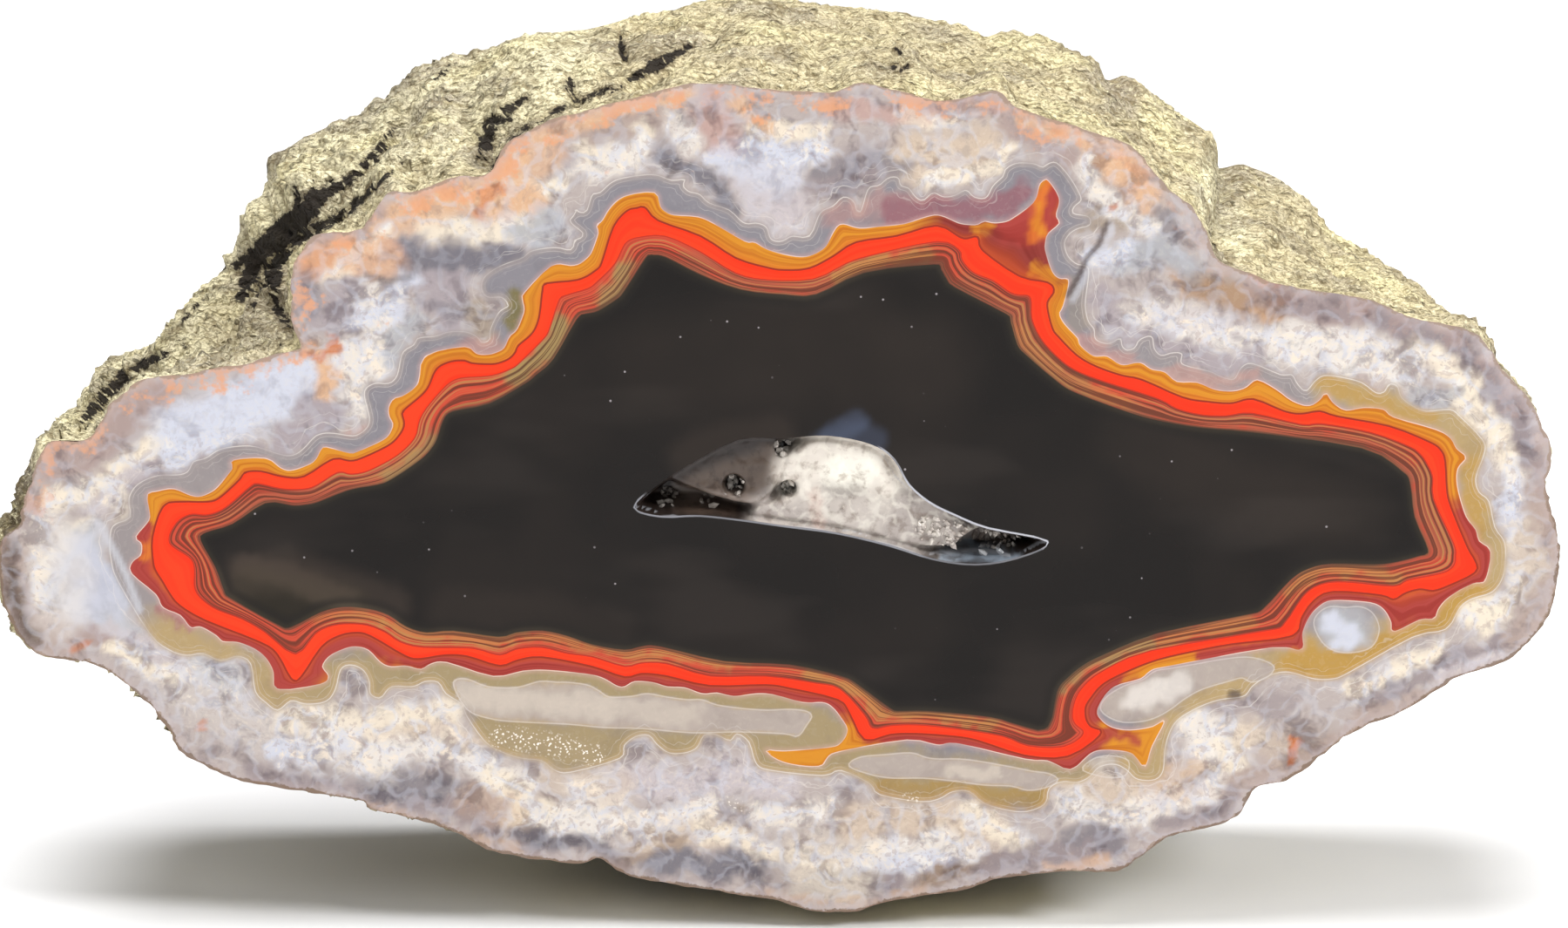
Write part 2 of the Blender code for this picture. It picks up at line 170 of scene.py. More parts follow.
# %% The edges of the bands
def pixel_run(*numbers):
    """Picture points from their numbers in a row: x, y, x, y and so on."""
    return np.reshape(numbers, (-1, 2)).astype(float)


PALE_LINE_PX = pixel_run(
    151, 658, 152, 645, 161, 638, 163, 630, 162, 623, 156, 616, 170, 599, 172, 590, 169, 568, 180, 564,
    199, 561, 217, 568, 228, 570, 238, 567, 249, 560, 263, 543, 267, 537, 268, 528, 305, 526, 322, 537,
    335, 540, 357, 532, 364, 525, 368, 517, 374, 513, 401, 520, 411, 518, 434, 508, 445, 501, 450, 492,
    451, 486, 447, 478, 446, 470, 448, 463, 453, 457, 463, 454, 480, 440, 488, 409, 533, 398, 547, 406,
    560, 407, 571, 404, 579, 399, 585, 386, 593, 379, 600, 363, 602, 354, 600, 344, 602, 336, 633, 305,
    655, 305, 665, 303, 673, 297, 679, 290, 685, 274, 687, 266, 685, 258, 691, 254, 701, 238, 718, 225,
    751, 221, 758, 237, 764, 243, 774, 247, 801, 249, 820, 257, 855, 277, 866, 278, 880, 286, 900, 292,
    920, 295, 934, 292, 948, 283, 957, 266, 966, 257, 986, 262, 1010, 260, 1038, 257, 1060, 250,
    1078, 247, 1100, 256, 1112, 258, 1122, 258, 1130, 254, 1140, 256, 1152, 255, 1162, 251, 1187, 232,
    1193, 213, 1197, 208, 1203, 207, 1216, 228, 1212, 247, 1216, 256, 1203, 268, 1200, 278, 1200, 288,
    1208, 312, 1217, 320, 1227, 322, 1220, 352, 1216, 360, 1222, 372, 1237, 388, 1239, 395, 1247, 403,
    1257, 409, 1271, 409, 1288, 419, 1308, 416, 1322, 424, 1337, 427, 1351, 438, 1374, 439, 1394, 447,
    1414, 449, 1430, 445, 1443, 436, 1465, 447, 1483, 460, 1502, 466, 1515, 459, 1522, 451, 1530, 462,
    1545, 471, 1565, 468, 1588, 470, 1600, 479, 1648, 493, 1665, 503, 1672, 515, 1683, 525, 1674, 536,
    1672, 550, 1675, 568, 1683, 593, 1694, 608, 1698, 621, 1711, 633, 1705, 666, 1693, 669, 1676, 677,
    1660, 688, 1651, 699, 1646, 710, 1630, 711, 1600, 725, 1597, 714, 1590, 701, 1579, 693, 1560, 690,
    1528, 689, 1514, 696, 1503, 708, 1495, 727, 1494, 746, 1460, 743, 1344, 764, 1322, 769, 1309, 779,
    1277, 789, 1260, 813, 1263, 825, 1277, 835, 1298, 838, 1323, 834, 1337, 827, 1322, 857, 1314, 880,
    1300, 865, 1281, 861, 1262, 861, 1250, 866, 1229, 883, 1203, 873, 1177, 871, 1099, 853, 1077, 855,
    1041, 849, 965, 862, 950, 869, 942, 879, 915, 878, 893, 872, 879, 861, 900, 862, 950, 858, 965, 853,
    973, 838, 965, 823, 956, 812, 945, 806, 922, 806, 887, 797, 867, 796, 843, 799, 823, 795, 806, 796,
    786, 789, 766, 788, 749, 783, 728, 782, 717, 788, 708, 787, 694, 779, 677, 774, 628, 769, 600, 770,
    566, 776, 513, 760, 494, 762, 483, 768, 466, 764, 449, 765, 437, 760, 423, 746, 408, 742, 394, 745,
    378, 753, 370, 765, 377, 776, 368, 785, 319, 791, 314, 771, 306, 756, 293, 745, 273, 737, 256, 736,
    248, 729, 230, 719, 219, 720, 207, 706, 187, 697, 179, 682,
)
RED_OUTER_PX = pixel_run(
    187, 666, 180, 655, 177, 645, 176, 617, 188, 582, 207, 577, 238, 577, 253, 572, 276, 551, 282, 543,
    300, 542, 324, 548, 349, 548, 382, 528, 401, 530, 415, 527, 445, 513, 457, 503, 464, 492, 465, 484,
    463, 476, 465, 471, 484, 455, 493, 444, 502, 424, 518, 416, 533, 415, 542, 418, 564, 419, 575, 417,
    586, 412, 593, 404, 596, 397, 612, 383, 620, 364, 624, 332, 629, 326, 665, 322, 686, 310, 692, 301,
    705, 261, 720, 243, 731, 240, 740, 239, 755, 254, 804, 272, 844, 297, 880, 308, 900, 311, 929, 309,
    957, 295, 983, 279, 1029, 272, 1075, 260, 1101, 273, 1110, 275, 1122, 273, 1127, 288, 1170, 318,
    1202, 325, 1209, 334, 1203, 343, 1201, 352, 1207, 377, 1215, 388, 1236, 409, 1259, 422, 1288, 432,
    1311, 437, 1357, 457, 1385, 462, 1414, 464, 1438, 459, 1474, 473, 1494, 476, 1515, 473, 1535, 479,
    1594, 490, 1640, 508, 1653, 517, 1658, 530, 1660, 563, 1665, 583, 1684, 629, 1692, 643, 1693, 656,
    1663, 671, 1645, 677, 1630, 675, 1612, 680, 1600, 687, 1585, 682, 1530, 678, 1507, 689, 1493, 709,
    1483, 729, 1415, 738, 1372, 746, 1329, 756, 1295, 769, 1266, 784, 1251, 801, 1245, 812, 1246, 826,
    1252, 835, 1263, 842, 1226, 867, 1177, 866, 1123, 849, 1094, 844, 1051, 841, 1022, 842, 993, 848,
    976, 818, 962, 802, 907, 789, 879, 785, 815, 786, 766, 775, 737, 772, 717, 776, 680, 764, 622, 753,
    593, 757, 573, 763, 536, 752, 509, 751, 483, 755, 466, 752, 426, 729, 408, 725, 388, 729, 368, 742,
    345, 776, 335, 778, 319, 750, 299, 736, 236, 711, 207, 694, 196, 681,
)
RED_INNER_PX = pixel_run(
    198, 626, 195, 617, 199, 607, 207, 597, 220, 591, 236, 592, 251, 588, 265, 579, 288, 559, 297, 556,
    324, 562, 351, 562, 365, 557, 388, 543, 401, 545, 413, 544, 428, 539, 457, 523, 477, 503, 482, 484,
    491, 468, 511, 445, 522, 437, 535, 434, 564, 432, 587, 424, 598, 416, 624, 390, 631, 379, 642, 346,
    649, 340, 675, 332, 686, 324, 706, 304, 716, 284, 722, 277, 735, 273, 764, 272, 804, 290, 844, 314,
    880, 322, 934, 321, 972, 303, 1000, 294, 1075, 278, 1100, 287, 1103, 297, 1110, 307, 1120, 315,
    1140, 323, 1157, 335, 1167, 339, 1180, 340, 1183, 347, 1184, 367, 1195, 390, 1213, 410, 1233, 425,
    1265, 438, 1328, 458, 1351, 470, 1380, 477, 1408, 478, 1437, 475, 1494, 488, 1517, 487, 1573, 497,
    1617, 513, 1630, 522, 1637, 532, 1644, 548, 1645, 573, 1668, 624, 1670, 638, 1668, 649, 1655, 657,
    1616, 665, 1599, 672, 1544, 667, 1516, 670, 1496, 683, 1473, 716, 1453, 723, 1321, 746, 1266, 769,
    1243, 787, 1233, 804, 1230, 822, 1234, 832, 1243, 842, 1220, 856, 1180, 855, 1151, 844, 1094, 835,
    1051, 831, 1022, 832, 1002, 835, 994, 821, 965, 790, 936, 783, 879, 775, 815, 775, 766, 761, 737, 760,
    717, 764, 680, 753, 651, 749, 622, 742, 593, 744, 573, 751, 542, 743, 486, 742, 460, 736, 443, 725,
    423, 717, 403, 715, 382, 717, 362, 726, 339, 750, 305, 725, 279, 710, 250, 699, 236, 690, 228, 682,
    224, 672, 224, 651, 218, 639,
)
DARK_EDGE_PX = pixel_run(
    230, 620, 236, 611, 267, 601, 305, 577, 336, 580, 351, 579, 365, 576, 401, 562, 434, 556, 451, 549,
    482, 528, 495, 515, 502, 503, 509, 482, 520, 472, 562, 463, 604, 439, 615, 430, 635, 412, 662, 366,
    673, 360, 686, 357, 707, 344, 716, 335, 742, 295, 749, 293, 764, 295, 804, 315, 850, 332, 900, 338,
    937, 338, 992, 313, 1072, 303, 1080, 308, 1087, 320, 1097, 330, 1155, 360, 1160, 368, 1168, 395,
    1178, 407, 1213, 437, 1236, 451, 1299, 474, 1334, 483, 1380, 491, 1437, 496, 1563, 514, 1609, 540,
    1619, 555, 1624, 593, 1640, 632, 1630, 638, 1604, 645, 1579, 648, 1528, 647, 1501, 653, 1481, 666,
    1450, 699, 1430, 706, 1329, 727, 1266, 752, 1243, 764, 1226, 778, 1214, 793, 1202, 836, 1166, 831,
    1137, 823, 1065, 816, 1034, 816, 1022, 813, 985, 786, 965, 776, 907, 763, 832, 759, 757, 742,
    737, 742, 717, 746, 680, 740, 651, 730, 622, 724, 593, 726, 572, 731, 520, 724, 489, 726, 466, 719,
    446, 706, 423, 699, 394, 697, 368, 703, 334, 720, 319, 717, 265, 687, 257, 678, 247, 651,
)
CLOUD_EDGE_PX = pixel_run(
    136, 668, 128, 645, 126, 622, 130, 603, 149, 594, 148, 572, 158, 556, 180, 546, 205, 545, 216, 541,
    222, 530, 236, 526, 252, 516, 275, 512, 295, 513, 328, 523, 345, 518, 363, 500, 380, 497, 401, 500,
    411, 499, 422, 490, 424, 478, 418, 450, 430, 440, 446, 440, 456, 431, 462, 405, 475, 396, 480, 388,
    500, 386, 515, 381, 535, 381, 548, 387, 553, 393, 562, 390, 563, 378, 573, 358, 583, 352, 582, 347,
    575, 341, 560, 341, 553, 332, 556, 318, 575, 305, 600, 296, 610, 288, 637, 284, 654, 287, 659, 281,
    659, 276, 667, 273, 669, 267, 654, 254, 660, 246, 659, 239, 667, 244, 674, 241, 680, 223, 689, 221,
    706, 207, 737, 201, 754, 201, 771, 207, 786, 206, 784, 213, 791, 220, 803, 223, 814, 233, 837, 241,
    854, 256, 869, 256, 880, 261, 884, 273, 891, 277, 900, 276, 909, 271, 929, 271, 940, 247, 946, 241,
    957, 236, 966, 227, 974, 227, 981, 233, 984, 243, 989, 241, 997, 216, 1009, 213, 1020, 204, 1031, 204,
    1034, 213, 1043, 216, 1051, 226, 1060, 230, 1071, 221, 1083, 226, 1097, 224, 1109, 218, 1118, 226,
    1132, 227, 1140, 213, 1152, 202, 1153, 196, 1160, 190, 1170, 187, 1187, 188, 1197, 192, 1203, 188,
    1213, 187, 1227, 202, 1238, 220, 1241, 230, 1233, 237, 1232, 245, 1248, 248, 1252, 253, 1250, 259,
    1238, 262, 1228, 268, 1222, 279, 1226, 294, 1236, 303, 1246, 305, 1250, 312, 1246, 345, 1247, 360,
    1250, 370, 1256, 378, 1257, 388, 1264, 393, 1275, 394, 1286, 388, 1288, 397, 1294, 402, 1303, 399,
    1308, 390, 1322, 386, 1325, 400, 1333, 408, 1345, 405, 1357, 406, 1357, 418, 1388, 426, 1403, 433,
    1417, 435, 1424, 423, 1437, 417, 1470, 430, 1483, 430, 1489, 440, 1499, 449, 1509, 438, 1520, 431,
    1540, 433, 1563, 439, 1580, 451, 1590, 449, 1594, 441, 1604, 443, 1608, 455, 1620, 465, 1637, 472,
    1664, 470, 1676, 478, 1702, 505, 1704, 520, 1694, 548, 1698, 565, 1709, 575, 1716, 605, 1727, 622,
    1728, 645, 1724, 665, 1712, 680, 1690, 687, 1676, 697, 1660, 722, 1622, 731, 1548, 772, 1530, 779,
    1508, 779, 1478, 771, 1455, 776, 1437, 788, 1428, 799, 1400, 803, 1375, 812, 1352, 826, 1342, 842,
    1337, 862, 1335, 885, 1325, 895, 1305, 894, 1294, 884, 1280, 877, 1262, 880, 1250, 892, 1236, 898,
    1219, 897, 1204, 905, 1200, 922, 1180, 931, 1158, 930, 1130, 922, 1112, 908, 1092, 909, 1080, 916,
    1058, 920, 1010, 912, 998, 899, 965, 884, 945, 890, 885, 884, 868, 876, 860, 852, 846, 842, 838, 850,
    822, 843, 808, 844, 800, 858, 786, 864, 768, 864, 754, 854, 745, 844, 730, 845, 716, 856, 712, 870,
    656, 886, 637, 884, 622, 873, 598, 870, 574, 862, 556, 850, 536, 822, 530, 808, 512, 796, 503, 783,
    488, 782, 474, 788, 449, 788, 437, 801, 425, 796, 424, 782, 417, 769, 403, 763, 391, 768, 385, 791,
    374, 805, 351, 808, 334, 804, 319, 815, 305, 806, 293, 793, 288, 762, 273, 753, 253, 758, 233, 750,
    213, 752, 193, 745, 172, 727,
)

# %% The grey lenses that lie inside the khaki zone
LONG_LENS_PX = pixel_run(
    520, 784, 535, 779, 560, 788, 593, 789, 619, 782, 640, 783, 651, 783, 674, 786, 688, 793, 700, 800,
    726, 799, 743, 796, 766, 800, 789, 803, 806, 803, 823, 809, 852, 813, 881, 815, 905, 814, 925, 816,
    932, 822, 926, 832, 916, 845, 900, 842, 846, 840, 794, 841, 737, 836, 694, 835, 651, 831, 588, 828,
    560, 824, 536, 814,
)
PALE_LENS_PX = pixel_run(
    974, 879, 987, 869, 1017, 866, 1046, 864, 1062, 869, 1076, 871, 1101, 871, 1126, 874, 1160, 880,
    1185, 885, 1205, 888, 1215, 896, 1200, 904, 1180, 907, 1160, 902, 1130, 901, 1092, 896, 1059, 893,
    1025, 893, 1000, 889,
)
RIGHT_LENS_PX = pixel_run(
    1263, 812, 1271, 799, 1291, 787, 1312, 780, 1326, 770, 1344, 767, 1373, 762, 1401, 757, 1430, 754,
    1451, 758, 1463, 766, 1455, 777, 1437, 783, 1426, 778, 1410, 782, 1380, 791, 1360, 802, 1348, 811,
    1334, 820, 1316, 827, 1290, 829, 1271, 822,
)
EYE_LENS_PX = pixel_run(
    1508, 716, 1514, 703, 1527, 696, 1545, 697, 1560, 696, 1573, 701, 1581, 712, 1583, 726, 1574, 743,
    1552, 749, 1532, 747, 1517, 736,
)
AMBER_TIP_LENS_PX = pixel_run(
    1243, 884, 1250, 874, 1264, 868, 1282, 868, 1296, 874, 1292, 890, 1270, 892,
)

# %% [markdown]
# ## Measuring from a line
#
# A band has a crisp edge, but a mesh only keeps values at its points. So each point of the face
# keeps its distance to each line, positive outside it and negative inside. Distance changes
# evenly across the mesh, and the material turns it into an edge as sharp as it likes.

# %% Smooth closed lines and distances to them
LINE_STEPS = 3
FAR_PX = 1.0e6


def smooth_ring(points, steps=LINE_STEPS):
    """A closed Catmull-Rom curve through the points."""
    points = np.array(points, float)
    before, after, later = (np.roll(points, shift, axis=0) for shift in (1, -1, -2))
    curve = []
    for step in range(steps):
        t = step / steps
        straight = 2.0 * points + (after - before) * t
        bend = (2.0 * before - 5.0 * points + 4.0 * after - later) * t**2
        swing = (3.0 * points - before - 3.0 * after + later) * t**3
        curve.append(0.5 * (straight + bend + swing))
    return np.stack(curve, axis=1).reshape(-1, 2)


def distance_to_run(spots, run):
    """How far each spot is from a run of straight stretches."""
    nearest = np.full(len(spots), FAR_PX)
    if len(run) == 1:
        return np.hypot(*(spots - run[0]).T)
    for start, end in zip(run[:-1], run[1:]):
        along = end - start
        share = np.clip((spots - start) @ along / (along @ along + 1e-12), 0.0, 1.0)
        gap = spots - start - share[:, None] * along
        nearest = np.minimum(nearest, np.hypot(gap[:, 0], gap[:, 1]))
    return nearest


def inside_ring(spots, ring):
    """Which spots lie inside a closed line, by counting how often a line to the right crosses it."""
    inside = np.zeros(len(spots), bool)
    x, y = spots.T
    for (x0, y0), (x1, y1) in zip(ring, np.roll(ring, -1, axis=0)):
        if y0 == y1:
            continue
        level = (y0 > y) != (y1 > y)
        inside ^= level & (x < (x1 - x0) * (y - y0) / (y1 - y0) + x0)
    return inside


def signed_distance(spots, ring):
    """Distance to a closed line, negative inside it."""
    closed = np.vstack([ring, ring[:1]])
    away = distance_to_run(spots, closed)
    return np.where(inside_ring(spots, ring), -away, away)


def soft_step(low, high, value):
    share = np.clip((value - low) / (high - low), 0.0, 1.0)
    return share * share * (3.0 - 2.0 * share)


def noise_at(places, size, offset=0.0):
    """Blender's own smooth noise at each place, from -1 to 1."""
    shifted = places / size + offset
    return np.array([noise.noise(place) for place in shifted.tolist()])


print("pale line:", len(PALE_LINE_PX), "points,", len(smooth_ring(PALE_LINE_PX)), "after smoothing")

# %% [markdown]
# ## Meshes as sheets
#
# Each visible part of the stone is one sheet: the polished face, the rough skin and the sawn back.
# A sheet starts as Blender's own grid. The face's grid is trimmed in edit mode, and its outermost
# points are moved onto the outline. The skin's grid is wrapped once around the stone.

# %% Starting a piece from a primitive
def pick_nothing():
    if bpy.context.object and bpy.context.object.mode != "OBJECT":
        bpy.ops.object.mode_set(mode="OBJECT")
    bpy.ops.object.select_all(action="DESELECT")


def points_of(mesh):
    places = np.empty(3 * len(mesh.vertices))
    mesh.vertices.foreach_get("co", places)
    return places.reshape(-1, 3)


def place_points(mesh, places):
    mesh.vertices.foreach_set("co", np.ascontiguousarray(places, float).ravel())
    mesh.update()


def start_grid(name, columns, rows):
    """A grid of that many cells each way, as the active object and in object mode."""
    pick_nothing()
    bpy.ops.mesh.primitive_grid_add(x_subdivisions=columns, y_subdivisions=rows, size=1.0)
    piece = bpy.context.object
    piece.name = name
    piece.data.name = name
    return piece


def delete_points(piece, chosen):
    """Deletes the chosen points, as by hand: pick them, then delete in edit mode."""
    bpy.ops.object.mode_set(mode="EDIT")
    bpy.ops.mesh.select_mode(type="VERT")
    bpy.ops.mesh.select_all(action="DESELECT")
    bpy.ops.object.mode_set(mode="OBJECT")
    piece.data.vertices.foreach_set("select", np.asarray(chosen, bool))
    bpy.ops.object.mode_set(mode="EDIT")
    bpy.ops.mesh.delete(type="VERT")
    bpy.ops.object.mode_set(mode="OBJECT")


def edge_points(mesh):
    """Which points lie on the open edge of a sheet."""
    loops = np.empty(len(mesh.loops), int)
    mesh.loops.foreach_get("edge_index", loops)
    uses = np.bincount(loops, minlength=len(mesh.edges))
    ends = np.empty(2 * len(mesh.edges), int)
    mesh.edges.foreach_get("vertices", ends)
    on_edge = np.zeros(len(mesh.vertices), bool)
    on_edge[ends.reshape(-1, 2)[uses == 1].ravel()] = True
    return on_edge


def drawn_onto(spots, ring):
    """Each spot moved to the nearest point of a closed line."""
    nearest = np.full(len(spots), np.inf)
    best = spots.copy()
    for start, end in zip(ring, np.roll(ring, -1, axis=0)):
        along = end - start
        share = np.clip((spots - start) @ along / (along @ along + 1e-18), 0.0, 1.0)
        foot = start + share[:, None] * along
        away = np.hypot(*(spots - foot).T)
        closer = away < nearest
        nearest = np.where(closer, away, nearest)
        best[closer] = foot[closer]
    return best


def flat_sheet(name, outline, cell, plane_y, facing, hole=None):
    """An upright sheet of square cells, trimmed to an outline and, if given, around a hole."""
    low, high = outline.min(axis=0) - cell, outline.max(axis=0) + cell
    columns, rows = np.ceil((high - low) / cell).astype(int)
    piece = start_grid(name, int(columns), int(rows))
    flat = points_of(piece.data)
    share = flat[:, :2] - flat[:, :2].min(axis=0)
    share /= share.max(axis=0)
    spots = low + share * (high - low)
    upright = np.stack([spots[:, 0], np.full(len(spots), plane_y), spots[:, 1]], axis=1)
    place_points(piece.data, upright)
    outside = ~inside_ring(spots, outline)
    if hole is not None:
        outside |= inside_ring(spots, hole)
    delete_points(piece, outside)
    places = points_of(piece.data)
    rim = edge_points(piece.data)
    spots = places[:, [0, 2]]
    to_outline = drawn_onto(spots[rim], outline)
    if hole is not None:
        to_hole = drawn_onto(spots[rim], hole)
        nearer = np.hypot(*(to_hole - spots[rim]).T) < np.hypot(*(to_outline - spots[rim]).T)
        to_outline[nearer] = to_hole[nearer]
    places[np.ix_(rim, [0, 2])] = to_outline
    place_points(piece.data, places)
    if piece.data.polygons[0].normal.y * facing < 0.0:
        piece.data.flip_normals()
    piece.data.shade_flat()
    print(name, "has", len(piece.data.polygons), "faces")
    return piece


def keep_values(piece, name, values):
    """Stores one number or one colour at each point of a piece."""
    if values.ndim == 1:
        kept = piece.data.attributes.new(name, "FLOAT", "POINT")
        kept.data.foreach_set("value", values)
    else:
        kept = piece.data.attributes.new(name, "FLOAT_COLOR", "POINT")
        kept.data.foreach_set("color", values.ravel())

# %% [markdown]
# ## The shape of the slice
#
# The stone is read as a turn around its middle: at each turn the face reaches so far, and the back
# so far. The rough skin runs from one to the other. These are the same rules as in the stone's own
# source, so that the dressed stone and the solid agree, only with many more points.

# %% The face's edge and the back's edge
COLUMNS = 1080
ROWS = 80
SKIN_STEPS = 6
MIDDLE_PX = (905.0, 560.0)
HALF_WIDTH = 0.048
HALF_HEIGHT = 0.027
BACK_SHARE_BOTTOM = 0.99
JOIN_TURN = 0.1
SOFTENED_SHARE = 15.0 / 240.0
FULL_TURN = 2.0 * math.pi
CHIPS = ((0.0017, 0.00016), (0.0007, 0.00014))

middle = place_on(MIDDLE_PX, FRONT_Y)


def turn_and_reach(outline):
    """The turn and the reach of outline points, on a circle stretched to the stone's proportions."""
    across = (outline[:, 0] - middle[0]) / HALF_WIDTH
    up = (outline[:, 1] - middle[1]) / HALF_HEIGHT
    return np.arctan2(up, across), np.hypot(across, up)


def reach_at(outline, turns):
    own_turns, own_reach = turn_and_reach(outline)
    return np.interp(turns, own_turns, own_reach, period=FULL_TURN)


def even_turns(outline):
    """Turns that lie evenly along an outline, so that its steep stretches get their columns too."""
    turns, _ = turn_and_reach(outline)
    order = np.argsort(turns)
    turns = turns[order]
    ordered = outline[order]
    steps = np.hypot(*(np.roll(ordered, -1, axis=0) - ordered).T)
    along = np.concatenate([[0.0], np.cumsum(steps)])
    spots = np.linspace(0.0, along[-1], COLUMNS, endpoint=False)
    return np.interp(spots, along, np.append(turns, turns[0] + FULL_TURN))


def back_outline(face_reach, turns):
    """The back's reach: the skin's outline above, and below the face's own, smoothed and drawn in."""
    skin = place_on(SKIN_EDGE_PX, BACK_Y)
    above = reach_at(skin, turns)
    ends, _ = turn_and_reach(skin[[0, -1]])
    left_end, right_end = ends % FULL_TURN
    half_span = int(round(0.5 * SOFTENED_SHARE * COLUMNS))
    spread = range(-half_span, half_span + 1)
    soft = np.mean([np.roll(face_reach, shift) for shift in spread], axis=0)
    joins = np.interp([left_end, right_end], turns, above / soft, period=FULL_TURN)
    down = turns % FULL_TURN
    down = np.where(down > 0.25 * FULL_TURN, down, down + FULL_TURN)
    right_end += FULL_TURN
    lowest = 0.75 * FULL_TURN
    share = np.interp(down, [left_end, lowest, right_end], [joins[0], BACK_SHARE_BOTTOM, joins[1]])
    past_left = soft_step(left_end - JOIN_TURN, left_end + JOIN_TURN, down)
    before_right = soft_step(right_end + JOIN_TURN, right_end - JOIN_TURN, down)
    lower = past_left * before_right
    return above * (1.0 - lower) + soft * share * lower


face_curve = smooth_ring(place_on(FACE_EDGE_PX, FRONT_Y), SKIN_STEPS)
turns = even_turns(face_curve)
face_reach = reach_at(face_curve, turns)
rim_places = np.stack([face_reach * np.cos(turns), face_reach * np.sin(turns), 0.0 * turns], axis=1) * HALF_WIDTH
for size, height in CHIPS:
    face_reach += height / HALF_WIDTH * noise_at(rim_places, size)
back_reach = back_outline(face_reach, turns)


def ring_at(share):
    """The x and z of the stone's outline at a share of its thickness, and the way out of it."""
    reach = face_reach + (back_reach - face_reach) * share
    x = middle[0] + HALF_WIDTH * reach * np.cos(turns)
    z = middle[1] + HALF_HEIGHT * reach * np.sin(turns)
    step = int(round(COLUMNS / 120.0))
    along_x = np.roll(x, -step) - np.roll(x, step)
    along_z = np.roll(z, -step) - np.roll(z, step)
    length = np.hypot(along_x, along_z)
    return x, z, along_z / length, -along_x / length


face_x, face_z, _, _ = ring_at(0.0)
face_edge = np.stack([face_x, face_z], axis=1)
hollow_edge = smooth_ring(place_on(HOLLOW_EDGE_PX, FRONT_Y), 4)
print("face:", np.round(1000.0 * np.ptp(face_edge, axis=0), 1), "mm across and high")

# %% [markdown]
# ## The relief of the rough skin
#
# The skin grew against crumbling rock, so it is lumpy, pitted and cracked. Broad lumps and pits
# are noise at a few sizes. The long cracks at the upper left and the larger lumps follow the
# picture. A fine crumbly grain lies over all of it, and fades out at the sawn edges.

# %% Lumps, pits, cracks and grain
CREVICES_PX = [
    ([(99, 475), (150, 432), (212, 396), (262, 380)], 0.0008, 0.0007),
    ([(246, 392), (272, 344), (284, 295), (312, 262), (344, 241), (370, 223)], 0.0013, 0.0009),
    ([(312, 289), (318, 322), (315, 358)], 0.0009, 0.0007),
    ([(364, 266), (401, 215), (442, 163), (468, 140)], 0.0012, 0.0008),
    ([(470, 208), (505, 178), (545, 150)], 0.0007, 0.0007),
    ([(557, 188), (578, 150), (600, 120), (655, 99)], 0.0010, 0.0008),
    ([(640, 118), (690, 86), (722, 60)], 0.0008, 0.0006),
    ([(730, 92), (772, 66), (813, 44)], 0.0010, 0.0008),
    ([(1128, 66), (1190, 84), (1250, 122)], 0.0006, 0.0007),
    ([(1270, 96), (1300, 128), (1345, 170)], 0.0006, 0.0006),
    ([(1404, 190), (1412, 226), (1402, 272)], 0.0009, 0.0008),
    ([(1440, 232), (1482, 264), (1540, 312)], 0.0006, 0.0007),
]
LUMPS_PX = [
    ((236, 372), 0.0007, 0.0022), ((300, 330), 0.0006, 0.0016), ((338, 212), 0.0008, 0.0020),
    ((420, 186), 0.0006, 0.0018), ((520, 120), 0.0007, 0.0026), ((620, 84), 0.0006, 0.0020),
    ((700, 66), 0.0005, 0.0018), ((880, 50), 0.0005, 0.0030), ((1020, 62), 0.0005, 0.0026),
    ((1160, 82), 0.0005, 0.0022), ((1240, 96), 0.0005, 0.0018), ((1370, 190), 0.0006, 0.0020),
    ((1470, 262), 0.0006, 0.0022), ((140, 432), 0.0004, 0.0014),
]
SKIN_NOISE = ((0.0085, 0.0006), (0.0034, 0.00042))
PIT_SPACING = 0.004
PIT_DEPTH = 0.0005
PIT_SHARE = 0.32
LOWER_RELIEF = 1.5
LOWER_BELLY = 0.0007
BELLY_START = 0.3
RELIEF_START = 0.12
FOOT_BULGE = 0.0027
FOOT_START = 0.5
FOOT_MIDDLE_X = 0.0015
FOOT_HALF_WIDTH = 0.024
FOOT_CORE_SHARE = 0.45
FOOT_CALM = 0.85
GRAIN_EDGE = 0.03
FLAKE_SIZES = ((0.0042, 0.0003), (0.0019, 0.00028), (0.0008, 0.0002))
FLAKE_SQUEEZE = 0.42
GRIT_SIZE = 0.00055
GRIT_HEIGHT = 0.00014
